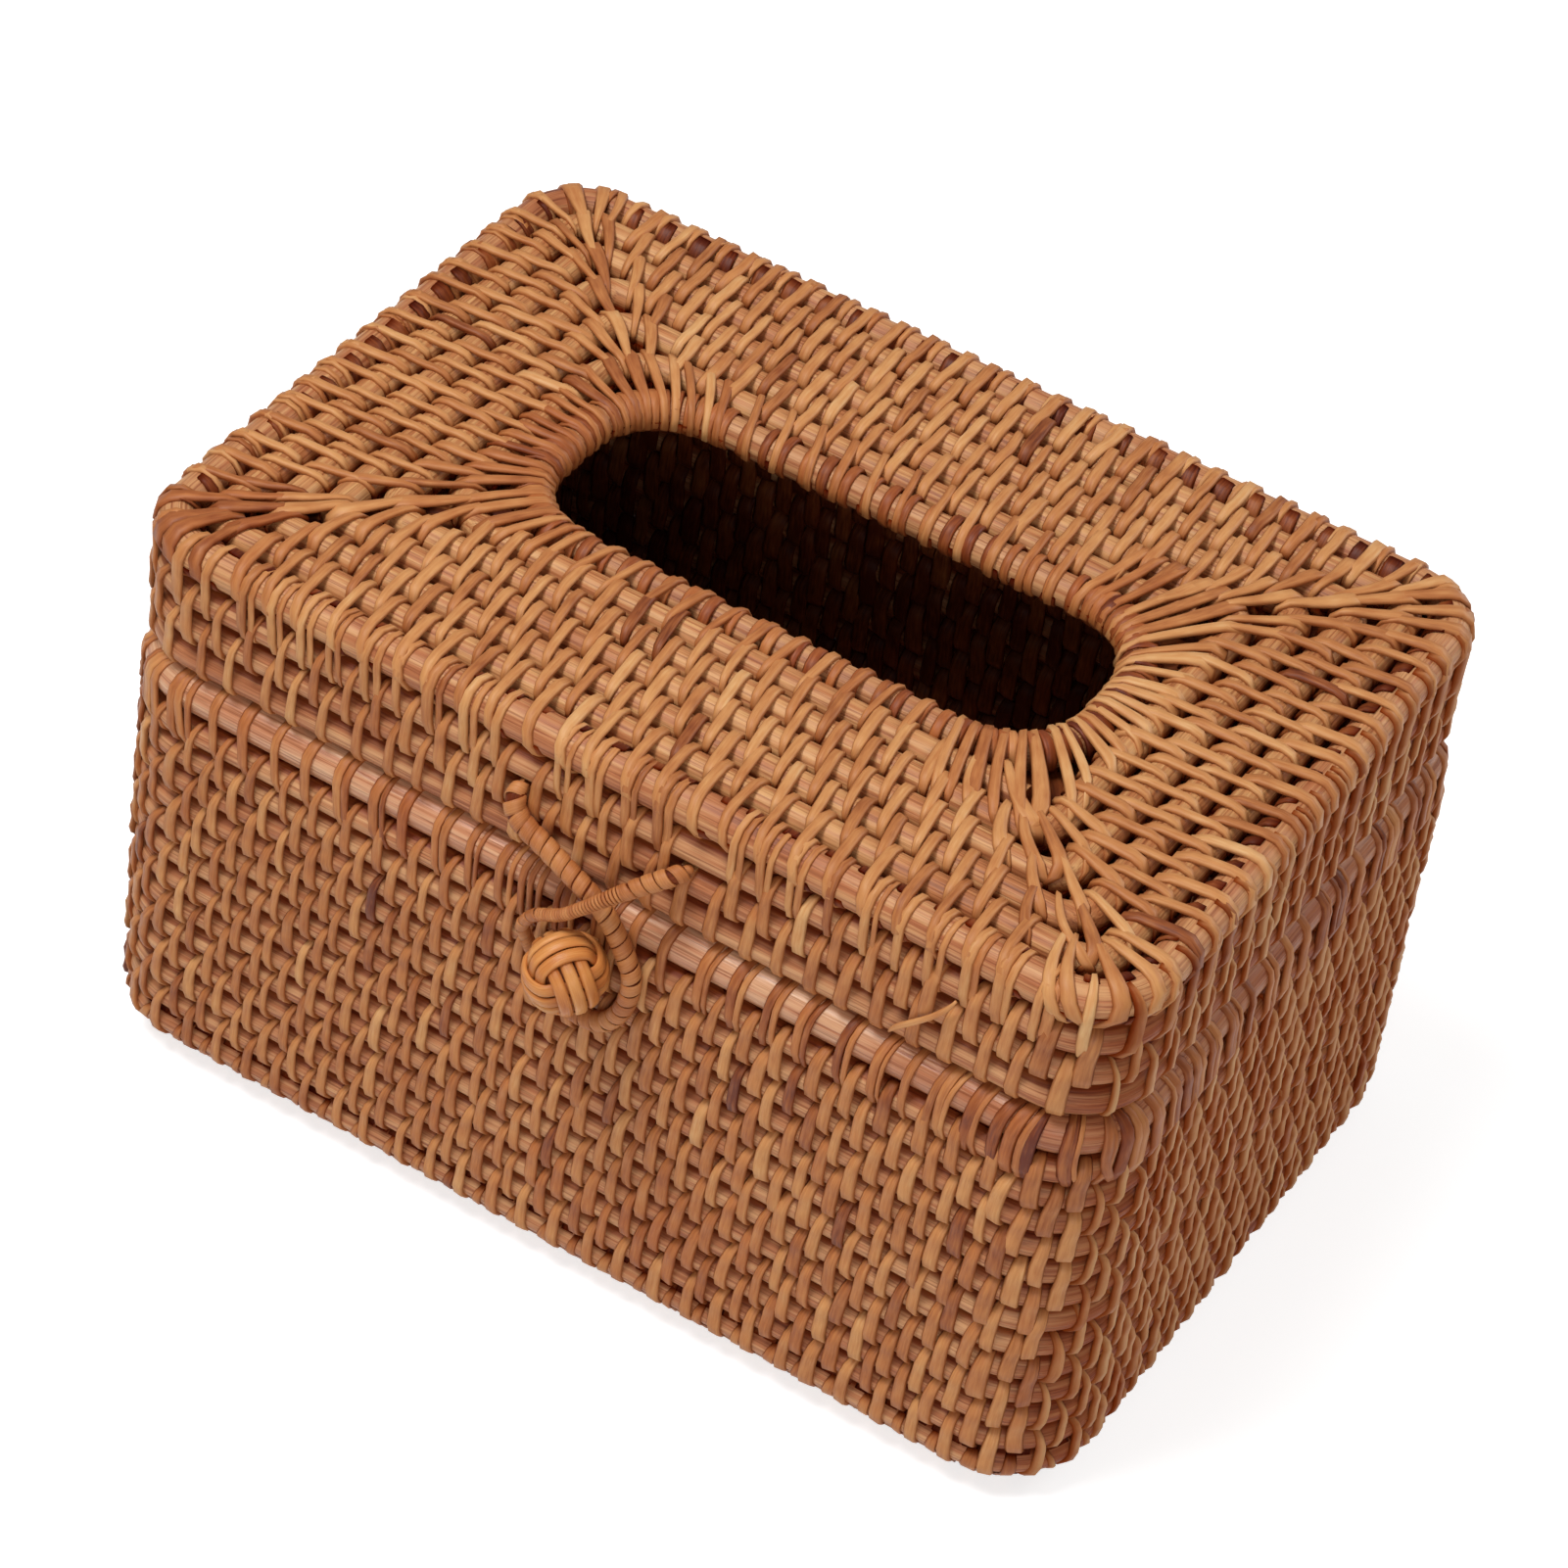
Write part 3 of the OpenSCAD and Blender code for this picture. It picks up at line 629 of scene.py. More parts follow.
for level in range(13):
    upper = wall_rings[level]
    lower = wall_rings[level - 1] if level else dict(base_rings[-1], radius=under_radius)
    dice = np.random.RandomState(100 + level)
    look = dict(wall_look, tone=wall_tone(level), red=wall_red(level))
    if not level:
        look.update(stop=2.9, thick=(0.6, 0.04))
    at = round_positions(upper, wall_pitch, 0.5 * (level % 2), dice)
    lay_strips("wall_binding_%02d" % level, upper, lower, at, look, "body", 200 + level)
    # The lowest row inside lies close, for it ties the whole wall to the base
    at = round_positions(upper, (8.6 if level else 3.7) * mm, 0.5 * (level % 2) + 0.25, dice)
    look = inner_look if level else dict(inner_look, width=(3.9, 0.2), lean=(0.0, 0.3))
    lay_strips("wall_binding_inside_%02d" % level, upper, lower, at, look, "body", 230 + level,
               inward=True)


# Rim binding
# The rim is the thickest rod of the body. Its stitches are long, often two narrow strips side
# by side, and reach from the top of the rim to under the highest wall ring.
rim_ring = ring_of("rim_rod", 15.5 * mm)
hinge_places = (-75 * mm, 0.0, 75 * mm)


def clear_of_hinges(at):
    """The back's three hinge lashings lie straight on the rods, so no stitch goes there."""
    room = 7.5 * mm
    return [(side, run) for side, run in at
            if side != 2 or min(abs(-run - x) for x in hinge_places) > room]


highest = wall_rings[-1]
dice = np.random.RandomState(31)
rim_at = clear_of_hinges(round_positions(rim_ring, wall_pitch, 0.5, dice))
rim_look = {"width": (2.2, 0.35), "thick": (0.8, 0.05), "lean": by_side(1.2, 0.8, 1.2, 2.0, 0.6),
            "bow": by_side(-1.9, 1.6, -1.2, 0.8, 0.4), "hook": by_side(0.9, -0.8, 0.9, -0.6, 0.4),
            "twist": by_side(0, 0.2, 0, 0, 0.08), "shaded": by_side(0, 0.4, 0, 0, 0),
            "start": 2.3, "stop": 1.55, "tone": (0.42, 0.12), "red": (0.4, 0.2),
            "heights": ([0, .3, .48, .85, 1], [.5, .5, 1, 1, .5]),
            "profile": ([0, .3, .6, .85, .95, 1], [.95, 1, 1, .9, .6, .3])}
lay_strips("rim_binding", rim_ring, highest, rim_at, rim_look, "body", 301)
rim_corner = rim_ring["right"] - 12 * mm
for extra, (chance, shift) in enumerate(((0.6, 2.1), (0.2, -1.9))):
    beside = [(side, run) for side, run in rim_at
              if dice.uniform() < (1 if side == 0 and run < -rim_corner else chance)]
    lay_strips("rim_binding_beside_%d" % extra, rim_ring, highest, beside,
               dict(rim_look, width=(1.5, 0.25), shift=(shift, 0.25)), "body", 302 + extra)
# The front right corner of the rim is bound closely with dark ruddy cane, painted darker still as shade
# under the lid's corner
front_corner = [(0, run * mm) for run in range(92, 120, 6)] + [(1, run * mm) for run in range(-67, -30, 6)]
corner_look = dict(rim_look, width=(2.6, 0.4), shift=(0, 0.5), tone=by_side(0.28, 0.5, 0.3, 0.3, 0.12),
                   red=by_side(0.6, 0.3, 0.5, 0.5, 0.2))
lay_strips("rim_binding_corner", rim_ring, highest, front_corner, corner_look, "body", 308)
rim_at = clear_of_hinges(round_positions(rim_ring, wall_pitch, 0.5, dice))
look = dict(inner_look, start=1.7, heights=([0, .15, .3, 1], [.5, .5, 1, .6]))
lay_strips("rim_binding_inside", rim_ring, highest, rim_at, look, "body", 305, inward=True)


# Hinge lashings
# Flat cane, wound four times side by side in figures of eight round the rim and the lid's
# lowest ring. The strips draw together where they cross, and the lid turns there.
def tube_faces(number, size, closed=False):
    """Faces of a tube through a number of rings of points, with both ends shut if it has any."""
    last = number if closed else number - 1
    faces = [[a * size + i, a * size + (i + 1) % size, (a + 1) % number * size + (i + 1) % size,
              (a + 1) % number * size + i] for a in range(last) for i in range(size)]
    if not closed:
        faces += [list(range(size))[::-1], [(number - 1) * size + i for i in range(size)]]
    return faces


def ribbon(name, points, outward, width, thick, body, material, tone, red, depth=1.0,
           closed=False):
    """A flat strip that follows points, its flat side facing outward. Sizes in metres."""
    points, outward = np.asarray(points, float), np.asarray(outward, float)
    number = len(points)
    if closed:
        heading = np.roll(points, -1, 0) - np.roll(points, 1, 0)
    else:
        heading = np.gradient(points, axis=0)
    heading /= np.linalg.norm(heading, axis=1, keepdims=True)
    across = np.cross(heading, outward)
    across /= np.linalg.norm(across, axis=1, keepdims=True)
    out = np.cross(across, heading)
    section = np.array([(-1, .3), (-.88, .75), (-.45, 1), (.45, 1), (.88, .75), (1, .3), (.7, -.2),
                        (-.7, -.2)])
    width, thick, tone, red, depth = (np.broadcast_to(v, number)[:, None] for v in
                                      (width, thick, tone, red, depth))
    place = (points[:, None, :] + across[:, None, :] * (section[:, 0] * width / 2)[..., None]
             + out[:, None, :] * (section[:, 1] * thick)[..., None])
    run = np.concatenate([[0], np.cumsum(np.linalg.norm(np.diff(points, axis=0), axis=1))])[:, None]
    uv = np.stack([section[:, 0] * width / 2 / mm + 3.3, run / mm + 0 * section[:, 0]], -1)
    # depth is painted shade: below 1 the cane is painted darker
    tint = np.stack(np.broadcast_arrays(tone, red, depth, 0.5 + 0 * uv[..., 0]), -1)
    piece = cane_mesh(name, place.reshape(-1, 3), tube_faces(number, len(section), closed), 1,
                      tint.reshape(-1, 4), uv.reshape(-1, 2), body)
    piece.data.materials[0] = material
    return piece


def joined(pieces, name):
    """Several pieces as one object."""
    bpy.ops.object.select_all(action="DESELECT")
    for piece in pieces:
        piece.select_set(True)
    bpy.context.view_layer.objects.active = pieces[0]
    bpy.ops.object.join()
    piece = bpy.context.object
    piece.name = name
    return piece


# Places are y and z, of the lid's lowest ring and of the rim at the back
upper_middle, lower_middle = np.array([77.9, 112.808]) * mm, np.array([78.4, 103.258]) * mm
upper_radius, lower_radius = 3.74 * mm, 4.78 * mm
lashing_pitch, lashing_width, lashing_waist, lashing_thick = 2.7 * mm, 2.55 * mm, 1.15 * mm, 0.45 * mm
cross_shift = 0.62 * mm
between_rods = lower_middle - upper_middle
spread = np.linalg.norm(between_rods)
aim = math.atan2(between_rods[1], between_rods[0])
cross_turn = math.acos((upper_radius + lower_radius + 0.4 * mm) / spread)
eight, eight_out, bow_steps = [], [], 29
for middle, radius, start, sweep in ((upper_middle, upper_radius, aim + cross_turn, 1),
                                     (lower_middle, lower_radius, aim + math.pi - cross_turn, -1)):
    for step in range(bow_steps):
        angle = start + sweep * (2 * math.pi - 2 * cross_turn) * step / (bow_steps - 1)
        eight_out.append((0, math.cos(angle), math.sin(angle)))
        eight.append((0, *(middle + radius * np.array(eight_out[-1][1:]))))
# The strips draw together where they cross between the rods
step = np.arange(2 * bow_steps)
from_top = step % bow_steps - bow_steps // 2
narrow = np.clip((np.abs(from_top) / (bow_steps // 2) - 0.8) / 0.2, 0, 1) ** 2
drift = np.where(step < bow_steps, 1, -1) * np.sign(from_top) * narrow
for number, x_place in enumerate(hinge_places, 1):
    strips = []
    for j in range(4):
        route = np.array(eight)
        route[:, 0] = x_place + (j - 1.5) * lashing_pitch + drift * cross_shift
        strips.append(ribbon("lashing", route, eight_out,
                             lashing_width - (lashing_width - lashing_waist) * narrow, lashing_thick,
                             "body", cane, closed=True,
                             tone=0.45 + 0.1 * math.sin(5.1 * j + number), red=0.25))
    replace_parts(joined(strips, "hinge_binding_%d" % number), "hinge_lashing_%d" % number)


# Cane tails
# The knot's tail and the loop's tails are ends of flat cane, folded down inside the box and
# inside the lid.
tail_cane = Finish("flat cane tail", 0.45)
fibres = tail_cane.noise(tail_cane.add("TexCoord", {}, "Object"), (2600, 900, 120), 2, 0.5)
shade = tail_cane.ramp(fibres, [(0.3, colour(150, 88, 48)), (0.7, colour(208, 150, 92))])
tail_cane.set_up(Base_Color=shade)
for name in ("knot_tail", "loop_tails"):
    nodes[name].data.materials.clear()
    nodes[name].data.materials.append(tail_cane.material)


# Clasp knot
# A ball knot of glossy golden cane, tied round a small heart: three bands of three strands,
# each diving under the next.
golden = cane_material("golden knot cane", 0.36, ((140, 66, 24), (186, 104, 48), (214, 140, 74),
                                                  (228, 164, 98), (240, 194, 130)))
knot_middle = Vector((2.7, -93.4, 95.308)) * mm
heart_radius, band_radius, band_lift = 7.1 * mm, 7.15 * mm, 0.95 * mm
strand_pitch, strand_width, strand_thick, strand_steps = 2.85 * mm, 2.75 * mm, 0.95 * mm, 72
bpy.ops.mesh.primitive_ico_sphere_add(subdivisions=4, radius=heart_radius, location=knot_middle)
heart = bpy.context.object
heart.name = "knot_heart"
bpy.ops.object.transform_apply(location=True)
bpy.ops.object.shade_smooth()
heart.data.materials.append(rod_material("knot heart", 0.0, 0.0, (150, 84, 40), (84, 40, 18)))
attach(heart, "body")
strands = [heart]
knot_turn = np.array(Euler([math.radians(a) for a in (0.0, -16.0, 53.1)]).to_matrix())
for band in range(3):
    round_axis, face_axis, side_axis = (band + 1) % 3, (band + 2) % 3, band
    for j in (-1, 0, 1):
        angles = np.linspace(0, 2 * math.pi, strand_steps, endpoint=False) + 1.05
        # A band lies over its neighbours on two sides of the knot, and dives on the other two
        lift = np.clip((np.abs(np.cos(angles)) - 0.5) / 0.34, 0, 1)
        reach = band_radius + band_lift * lift * lift * (3 - 2 * lift)
        offset = j * strand_pitch
        flat = np.sqrt(reach ** 2 - offset ** 2)
        route = np.zeros((strand_steps, 3))
        route[:, round_axis] = offset
        route[:, face_axis] = flat * np.cos(angles)
        route[:, side_axis] = flat * np.sin(angles)
        route = route @ knot_turn.T
        away = route / np.linalg.norm(route, axis=1, keepdims=True)
        # Where a strand dives under the next band it is painted darker, as painted shade
        strands.append(ribbon("strand", route + np.array(knot_middle), away, strand_width,
                              strand_thick, "body", golden, closed=True,
                              tone=0.5 + 0.12 * math.sin(3.7 * band + 2.3 * j), red=0.1,
                              depth=0.35 + 0.65 * lift))
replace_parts(joined(strands, "woven_knot"), "clasp_knot")


# Lid skirt binding
# Three slimmer rings hang under the lid's edge, tied like the wall. Over the edge the strips
# are narrow and often in pairs, and along the back they are thin.
skirt_rings = [ring_of("skirt_rod_%d" % i, 14.5 * mm) for i in (1, 2, 3)]
edge_ring = ring_of("edge_rod", 13.85 * mm)
# Painted light: on the right face the strips are painted lighter, as on the wall
skirt_look = dict(wall_look, lean=by_side(0.8, 0.6, 0.8, 1.8, 0.6),
                  hook=by_side(0.5, -2.0, 0.5, -0.5, 0.4), twist=by_side(0, 0.36, 0, 0.1, 0.08),
                  tone=by_side(0.52, 0.80, 0.52, 0.52, 0.09), red=(0.2, 0.14))
root_places = (-18.6 * mm, 20.4 * mm)


def clear_of_roots(at, room):
    """The clasp loop's two ends go in between the middle and the upper skirt ring."""
    return [(side, run) for side, run in at
            if side != 0 or min(abs(run - x) for x in root_places) > room]


def hinge_thick(sides, runs, dice):
    """Thin cane along the back, where the lid turns close over the rim."""
    return np.where(sides == 2, 0.42, 0.88) + 0.03 * dice.normal(size=len(runs))


for level, (upper, lower) in enumerate([(edge_ring, skirt_rings[2]), (skirt_rings[2], skirt_rings[1]),
                                        (skirt_rings[1], skirt_rings[0])]):
    dice = np.random.RandomState(120 + level)
    look, inside = dict(skirt_look), dict(inner_look)
    at = round_positions(upper, 7.8 * mm, 0.5 * (level % 2), dice)
    if level < 2:
        at = clear_of_roots(at, (2.2, 3.6)[level] * mm)
    if level == 0:
        # Over the edge these strips go right round the rod, but on the right they start on top
        look.update(start=by_side(3.4, 1.4, 3.4, 3.4, 0), dark=by_side(0.6, 0.15, 0.6, 0.6, 0),
                    width=(2.1, 0.25), tone=(0.55, 0.12), red=(0.18, 0.14), stop=1.35)
    if level == 2:
        at = clear_of_hinges(at)
        look.update(stop=2.7, thick=hinge_thick, twist=by_side(0, 0.2, 0, 0, 0),
                    heights=([0, .1, .62, .8, 1], [.7, 1, 1, .5, .4]))
        inside.update(stop=1.6, heights=([0, .1, .7, .85, 1], [.7, 1, 1, .6, .4]))
    lay_strips("skirt_binding_%d" % (3 - level), upper, lower, at, look, "lid", 320 + level)
    if level == 0:
        beside = [(side, run) for side, run in at if dice.uniform() < 0.6
                  and side_ends(upper, side)[0] + 12 * mm < run < side_ends(upper, side)[1] - 12 * mm]
        look.update(width=(1.7, 0.25), shift=(2.1, 0.3), thick=(0.62, 0.04))
        lay_strips("skirt_binding_beside", upper, lower, beside, look, "lid", 324)
    at = round_positions(upper, 8.4 * mm, 0.5 * (level % 2) + 0.25, dice)
    if level == 2:
        at = clear_of_hinges(at)
    lay_strips("skirt_binding_inside_%d" % (3 - level), upper, lower, at, inside, "lid", 325 + level,
               inward=True)

# One cut strand was left lying loose across the skirt's stitches, right of the clasp
loose = np.array([(70.3, -82.5, 112.2), (73.1, -83.2, 116.3), (76.8, -83.5, 119.5), (80.5, -83.2, 124.1),
                  (83.1, -82.3, 128.0)]) * mm
loose_steps = 20
share = np.linspace(0, 1, loose_steps)
route = np.vander(share, 4) @ np.polyfit(np.linspace(0, 1, len(loose)), loose, 3)
ribbon("skirt_loose_strand", route, np.tile([0.0, -1.0, 0.3], (loose_steps, 1)),
       np.interp(share, [0, .15, .8, 1], [0.5, 1.4, 1.3, 0.6]) * mm, 0.5 * mm, "lid", cane,
       tone=0.62, red=0.1)


# Lid top binding
# The top is coiled in mitred rings. Each stitch spans two rods, and near the corners they fan
# out until the last one lies along the mitre.
top_rings = [ring_of("top_rod_1", 15 * mm, 69.92 * mm)] + [
    ring_of("top_rod_%d" % i, bend * mm) for i, bend in ((2, 9), (3, 7), (4, 7), (5, 7))]


def top_width(ring, level):
    """Widths for one of the mitred rings: the cane is split slimmer where the strips crowd."""
    def width(sides, runs, dice):
        middle = np.array([2.65, 3.0 if level == 5 else 2.6, 2.7, 2.25])[sides]
        ends = np.array([side_ends(ring, side) for side in range(4)])[sides]
        room = np.minimum(runs - ends[:, 0], ends[:, 1] - runs) / mm
        spread = 0.22 * dice.normal(size=len(runs)).clip(-2, 2)
        return middle * np.interp(room, [0, 5, 14], [0.62, 0.75, 1]) + spread
    return width


def near_left_corner(ring, sides, runs):
    """How close a strip is to the front left corner, where the cane is dark and ruddy."""
    low_front, high_left = side_ends(ring, 0)[0], side_ends(ring, 3)[1]
    away = np.where(sides == 0, runs - low_front, np.where(sides == 3, high_left - runs, 1))
    return np.exp(-(away / (13 * mm)) ** 2)


def top_tone(ring, level):
    def tone(sides, runs, dice):
        dark = near_left_corner(ring, sides, runs) * (0.24 if level > 3 else 0.06)
        odd = np.where(dice.uniform(size=len(runs)) < 0.05, -0.3, 0)
        return 0.57 - dark + odd + 0.1 * dice.normal(size=len(runs)).clip(-2, 2)
    return tone


def top_red(ring, level):
    def red(sides, runs, dice):
        ruddy = near_left_corner(ring, sides, runs) * (0.5 if level > 3 else 0.2)
        return (0.1 + ruddy + 0.1 * dice.normal(size=len(runs))).clip(0, 1)
    return red


def top_lean(sides, runs, dice):
    """The front strip leans towards the front right corner, the other strips hardly at all."""
    base = np.where(sides == 0, np.interp(runs, [-0.1, -0.04, 0.1], [-0.5, -2.0, -3.4]), -1.0)
    return base + 0.5 * dice.normal(size=len(runs))


top_look = {"width": (2.5, 0.25), "thick": (1.0, 0.07), "lean": top_lean,
            "bow": by_side(-0.6, 0.9, -0.4, 0.5, 0.3), "hook": by_side(0, -1.4, 0, 0, 0.3),
            "twist": (0.0, 0.1), "sag": (0.15, 0.06), "start": 1.5, "stop": 1.5,
            "profile": ([0, .1, .3, .6, .82, .94, 1], [.8, .95, 1, .98, .88, .6, .3])}
for level, (inner, outer) in enumerate(zip(top_rings, top_rings[1:] + [edge_ring]), 1):
    dice = np.random.RandomState(140 + level)
    maps = [matched(inner, outer, side, fan=fan * mm) for side, fan in enumerate((13, 17, 15, 15))]
    at, below, corners = [], [], []
    for side, pitch in enumerate((7.9, 7.2, 7.9, 7.7)):
        if level == 1 and side == 1:
            continue
        at += fanned_positions(inner, side, maps[side], pitch * mm, 0.5 * (level % 2), dice)
        below += fanned_positions(inner, side, maps[side], pitch * mm, 0.5 * (level % 2) + 0.3, dice)
        below += corner_positions(inner, side, 3.2 * mm)
        if level > 1 or side != 2:
            corners += [(side, side_ends(inner, side)[0] + dice.uniform(-0.2, 1.4) * mm)]
    look = dict(top_look, width=top_width(inner, level), tone=top_tone(inner, level),
                red=top_red(inner, level))
    if level == 5:
        look.update(stop=2.9, bow=by_side(-1.4, 2.2, -0.9, 0.6, 0.4),
                    hook=by_side(1.4, -4.2, 0.8, -0.8, 0.5), lean=by_side(-2.6, -2.2, -1, -1, 0.5))
    lay_strips("top_binding_%d" % level, inner, outer, at, look, "lid", 340 + level, maps)
    lay_strips("top_binding_mitre_%d" % level, inner, outer, corners,
               dict(look, width=(1.9, 0.25), bow=(0, 0.6), lean=(0, 0.6)), "lid", 360 + level, maps)
    lay_strips("top_binding_below_%d" % level, inner, outer, below, inner_look, "lid", 345 + level, maps,
               inward=True)


# Slot binding
# The slot's rod is wound closely with thin reddish cane, tightest round its ends. Longer, paler
# strips tie it to the next rings and fan out over the corners.
slot_ring = ring_of("slot_rod", 21 * mm)
beyond = 0.7 * mm
slot_outside = {key: value + (beyond if key in ("left", "right", "half", "bend") else 0)
                for key, value in slot_ring.items()}


def slot_places(straight, curved, dice, phase=0.5):
    """Places round the slot's rod, closer round its ends than along its sides."""
    at = []
    for side in range(4):
        before, after, _ = side_reach(slot_ring, side)
        low, high = side_ends(slot_ring, side)
        first, last = -(before - slot_ring["bend"]), after - slot_ring["bend"]
        pitch = straight if side in (0, 2) else curved
        for start, stop, step in ((low, first, curved), (first, last, pitch), (last, high, curved)):
            number = max(round((stop - start) / step), 1)
            at += [(side, start + (i + phase) * (stop - start) / number + dice.normal() * 0.3 * mm)
                   for i in range(number)]
    return at


def by_knots(places):
    """Function that takes a place on the slot's ring to one on another ring, through pairs."""
    places = np.array(places) * mm
    return lambda run: np.interp(run, places[:, 0], places[:, 1])


dice = np.random.RandomState(150)
winding_look = {"width": (2.4, 0.2), "thick": (0.62, 0.05), "lean": (-0.8, 0.5), "start": 2.9,
                "stop": 2.3, "sag": 0.0, "tone": by_side(0.34, 0.14, 0.34, 0.3, 0.1),
                "red": by_side(0.7, 0.85, 0.7, 0.6, 0.2), "profile": ([0, .2, .8, 1], [.9, 1, 1, .7])}
lay_strips("slot_winding", slot_ring, slot_outside, slot_places(5.0 * mm, 2.7 * mm, dice), winding_look,
           "lid", 350)
to_first = {0: by_knots([(-75, -86), (-58.9, -68.6), (-42.4, -45), (47, 47), (60, 60)]),
            2: by_knots([(-60, -60), (-47, -47), (42.4, 45), (58.9, 68.6), (75, 86)]),
            3: by_knots([(-30, -46), (-22.7, -32.2), (-12, -14), (0, 0), (12, 14), (22.7, 32.2),
                         (30, 46)])}
to_second = {0: by_knots([(40, 41), (47, 50), (56, 62), (65.5, 76.87), (72, 90)]),
             1: by_knots([(-30, -58), (-22.7, -41.7), (-11, -15.5), (0, 0), (11, 15.5), (22.7, 41.7),
                          (30, 58)]),
             2: by_knots([(-72, -90), (-65.5, -76.87), (-56, -62), (-47, -50), (-40, -41)])}
places = slot_places(7.9 * mm, 3.4 * mm, dice, phase=0.0)
to_left = [side == 3 or (side == 0 and run < 47 * mm) or (side == 2 and run > -47 * mm)
           for side, run in places]
near_first = [place for place, left in zip(places, to_left) if left]
near_second = [place for place, left in zip(places, to_left) if not left]
slot_look = dict(top_look, start=2.7, width=by_side(2.2, 2.1, 2.2, 2.1, 0.2), sag=0.0, lean=(-0.8, 0.6),
                 tone=by_side(0.5, 0.74, 0.5, 0.42, 0.1), red=by_side(0.3, 0.05, 0.3, 0.5, 0.15))
for name, ring, maps, at in (("first", top_rings[0], to_first, near_first),
                             ("second", top_rings[1], to_second, near_second)):
    lay_strips("slot_binding_%s" % name, slot_ring, ring, at, slot_look, "lid", 351, maps)
    lay_strips("slot_binding_below_%s" % name, slot_ring, ring, at, dict(inner_look, sag=0.0), "lid", 352,
               maps, inward=True)


# Clasp loop
# A cane core bent into a loop and wound with flat cane, coarsely on the left and round the
# knot, and with a fine thread where the right leg crosses in front.
loop_route = [(-1, 0, -.1, 1), (-1, .05, .26, 1.08), (-.93, .14, .47, 1.1), (-.78, .21, .55, 1.08),
              (-.58, .26, .62, 1.08), (-.3, .33, .78, 1.06), (-.05, .39, .93, 1.04), (.17, .46, 1, 1),
              (.37, .59, 1, 1)]
ring_route = [(.78, .6, 1, 1), (1, .13, 1, 1), (1.02, -.31, 1, 1), (.88, -.86, 1, 1), (.56, -1.31, 1, 1),
              (.07, -1.44, 1, .96), (-.42, -1.28, 1, .88), (-.74, -.98, 1, .8), (-.97, -.6, 1, .72),
              (-1.17, -.2, 1.08, .68), (-1.22, .07, 1.26, .66), (-1.08, .38, 1.44, .64)]
right_route = [(-.41, .75, 1.58, .64), (-.11, .6, 1.9, .64), (.13, .44, 2, .66), (.37, .29, 1.72, .74),
               (.58, .18, 1.22, .88), (.79, .08, .7, .95), (.93, .02, .32, .94), (1.01, 0, -.1, .94)]


def loop_out(q):
    """Distance in millimetres in front of the box's middle: 0 at the roots on the lid, 1 along
    the wall, 2 where one leg crosses in front of the other, and below 0 in between the rods."""
    return np.interp(q, [0, 1, 2], [82.551, 87.05, 91.5]) + np.minimum(q, 0) * 12


# Middle and scale of each part of the route, in x and z: the legs hang from the roots, the ring
# goes round the knot
legs, round_knot, loop_radius = (0.9, 19.5, 125.108, -29.8), (2.7, 11.5, 95.308, 11.5), 2.2
stops = np.array([(x + a * wide, -loop_out(q), z + b * high, r * loop_radius)
                  for (x, wide, z, high), route in ((legs, loop_route), (round_knot, ring_route),
                                                    (legs, right_route))
                  for a, b, q, r in route]) * mm
padded = np.concatenate([[2 * stops[0] - stops[1]], stops, [2 * stops[-1] - stops[-2]]])
# A smooth curve through all stops
fine = []
for a, b, c, d in zip(padded, padded[1:], padded[2:], padded[3:]):
    for t in np.linspace(0, 1, 12, endpoint=False):
        fine.append(0.5 * (2 * b + (c - a) * t + (2 * a - 5 * b + 4 * c - d) * t ** 2
                           + (3 * b - a - 3 * c + d) * t ** 3))
fine = np.array(fine + [stops[-1]])
run = np.concatenate([[0], np.cumsum(np.linalg.norm(np.diff(fine[:, :3], axis=0), axis=1))])
whole = run[-1]
# Both ends are rounded off where they go in between the rods
from_end = np.minimum(run, whole - run) / (1.3 * mm)
fine[:, 3] *= np.sqrt(np.maximum(1 - (1 - from_end).clip(0, 1) ** 2, 0.3))


def along_loop(at):
    return np.stack([np.interp(at, run, fine[:, i]) for i in range(4)], -1)


def loop_frames(at):
    """Heading of the loop and two directions across it, turned as little as possible."""
    reach = 0.4 * mm
    ahead, behind = along_loop(np.minimum(at + reach, whole)), along_loop(np.maximum(at - reach, 0))
    heading = (ahead - behind)[:, :3]
    heading /= np.linalg.norm(heading, axis=1, keepdims=True)
    first = np.zeros_like(heading)
    side = np.array([0.1, 0.0, 1.0])
    for i, h in enumerate(heading):
        side = side - h * side.dot(h)
        side /= np.linalg.norm(side)
        first[i] = side
    return heading, first, np.cross(heading, first)


core_steps, core_sides, core_inset = 160, 12, 0.35 * mm
at = np.linspace(0, whole, core_steps)
spots = along_loop(at)
heading, first, second = loop_frames(at)
turns = np.linspace(0, 2 * math.pi, core_sides, endpoint=False)
ring = first[:, None] * np.cos(turns)[:, None] + second[:, None] * np.sin(turns)[:, None]
skin = spots[:, None, :3] + ring * (spots[:, 3] - core_inset)[:, None, None]
uv = np.stack([np.tile(turns * 2, core_steps), np.repeat(at / mm, core_sides)], -1)
# The core shows only between the windings, so it gets a dark tone and painted shade
tint = np.tile([0.15, 0.6, 0.4, 0.5], (core_steps * core_sides, 1))
loop_core = cane_mesh("loop_core", skin.reshape(-1, 3), tube_faces(core_steps, core_sides), 1, tint, uv,
                      "clasp")


def winding_pitch(at):
    """3.1 mm on the left leg and the ring, a thread's 0.85 mm on the middle of the right leg,
    and 2.8 mm at its root."""
    left = (whole - np.asarray(at)) / mm
    return np.interp(left, [13, 14, 38, 40], [2.8, 0.85, 0.85, 3.1]) * mm


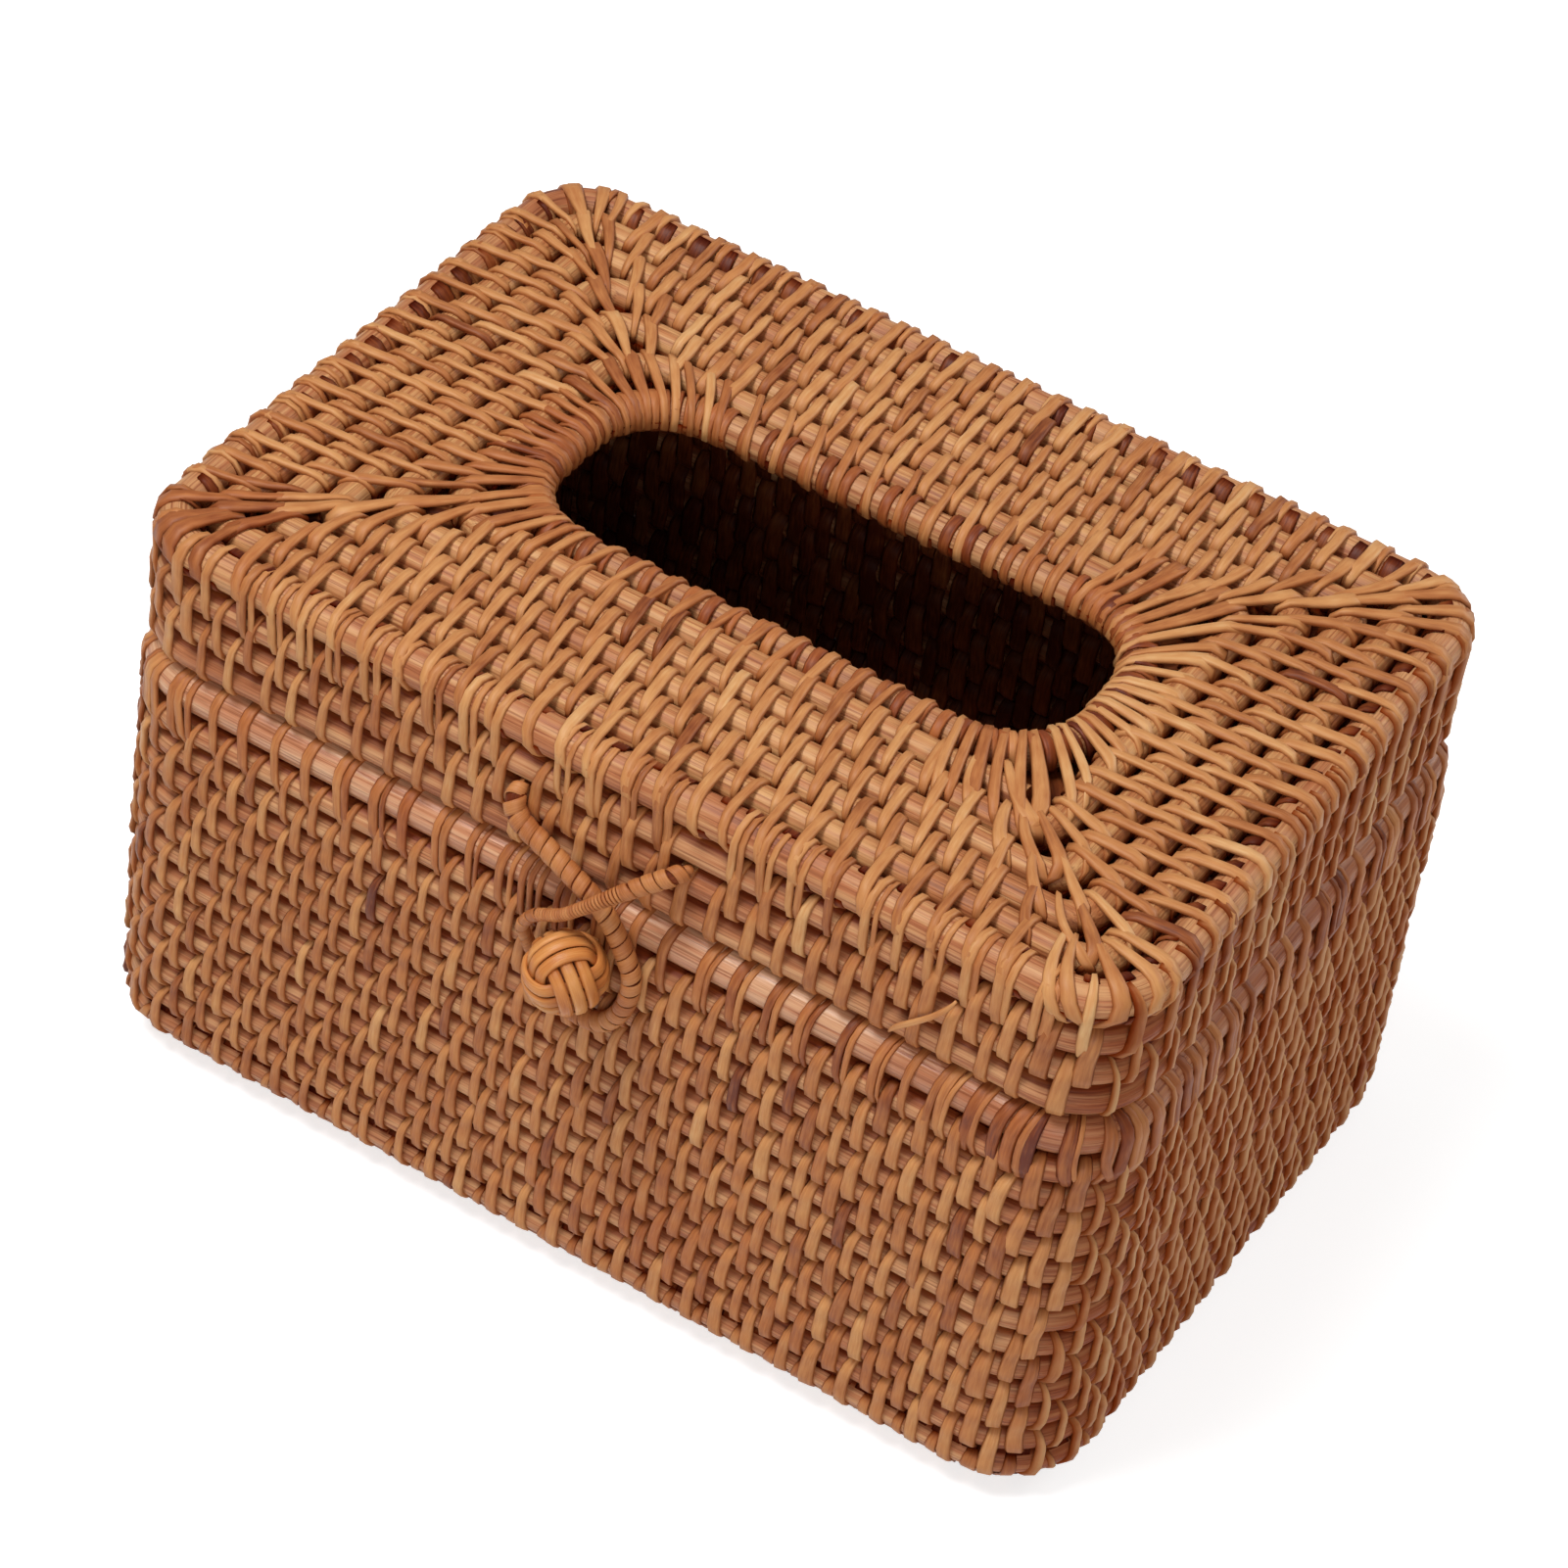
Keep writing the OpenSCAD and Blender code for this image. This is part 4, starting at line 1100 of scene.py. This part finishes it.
# At both ends the winding stays on the spot for three quarters of a turn
turn_steps, end_steps = 16, 12
steps, spot = [0.0] * end_steps, 0.0
while spot < whole:
    spot += float(winding_pitch(spot)) / turn_steps
    steps.append(min(spot, whole))
at = np.array(steps + [whole] * end_steps)
angle = 2 * math.pi / turn_steps * np.arange(len(at))
spots = along_loop(at)
heading, first, second = loop_frames(at)
away = first * np.cos(angle)[:, None] + second * np.sin(angle)[:, None]
cane_thick = 0.42 * mm
loop_winding = ribbon("loop_winding", spots[:, :3] + away * (spots[:, 3] - cane_thick)[:, None], away,
                      winding_pitch(at) - 0.2 * mm, cane_thick, "clasp", cane,
                      tone=0.48 + 0.08 * np.sin(angle / 5), red=0.35)
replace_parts(joined([loop_core, loop_winding], "wound_loop"), "clasp_loop")


# Floor and light
# A plain pale floor under soft light from above, with weaker lamps at the front right and
# behind. It glows for the camera and in reflections alone, which shows it nearly white.
strips_below = 0.9 * mm
bpy.ops.mesh.primitive_plane_add(size=12, location=(0, 0, -strips_below))
floor = bpy.context.object
floor.name = "floor"
pale = Finish("pale floor", 0.9)
rays = [pale.add("LightPath", {}, ray) for ray in ("Is Camera Ray", "Is Glossy Ray")]
seen = pale.sum_of("MAXIMUM", *rays)
shown = pale.add("Mix", {"Factor": seen, "A": (0.6, 0.6, 0.6, 1), "B": (0.7, 0.7, 0.7, 1)}, "Result",
                 data_type="RGBA")
pale.set_up(Base_Color=shown, Specular_IOR_Level=0.1, Emission_Color=(1, 1, 1, 1),
            Emission_Strength=pale.sum_of("MULTIPLY", seen, 0.66))
floor.data.materials.append(pale.material)
floor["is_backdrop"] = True

world = bpy.data.worlds.new("studio")
bpy.context.scene.world = world
world.use_nodes = True
background = world.node_tree.nodes["Background"]
background.inputs["Color"].default_value = (1, 1, 1, 1)
background.inputs["Strength"].default_value = 0.25


def softbox(name, place, aim, width, height, power):
    bpy.ops.object.light_add(type="AREA", location=place)
    lamp = bpy.context.object
    lamp.name = name
    lamp.data.shape = "RECTANGLE"
    lamp.data.size, lamp.data.size_y = width, height
    lamp.data.energy = power
    lamp.rotation_euler = (Vector(aim) - Vector(place)).to_track_quat("-Z", "Y").to_euler()


softbox("key", (-0.35, -0.4, 1.4), (0, 0, 0.08), 0.55, 0.55, 14)
softbox("edge light", (0.65, 1.15, 0.6), (0.1, 0, 0.07), 0.5, 0.5, 5)
softbox("fill", (0.85, -1.35, 0.7), (0, 0, 0.08), 0.9, 0.7, 7.5)
bpy.context.scene.view_settings.view_transform = "Standard"

low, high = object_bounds()
{"cad": cad_bounds, "visual": [list(low), list(high)]}
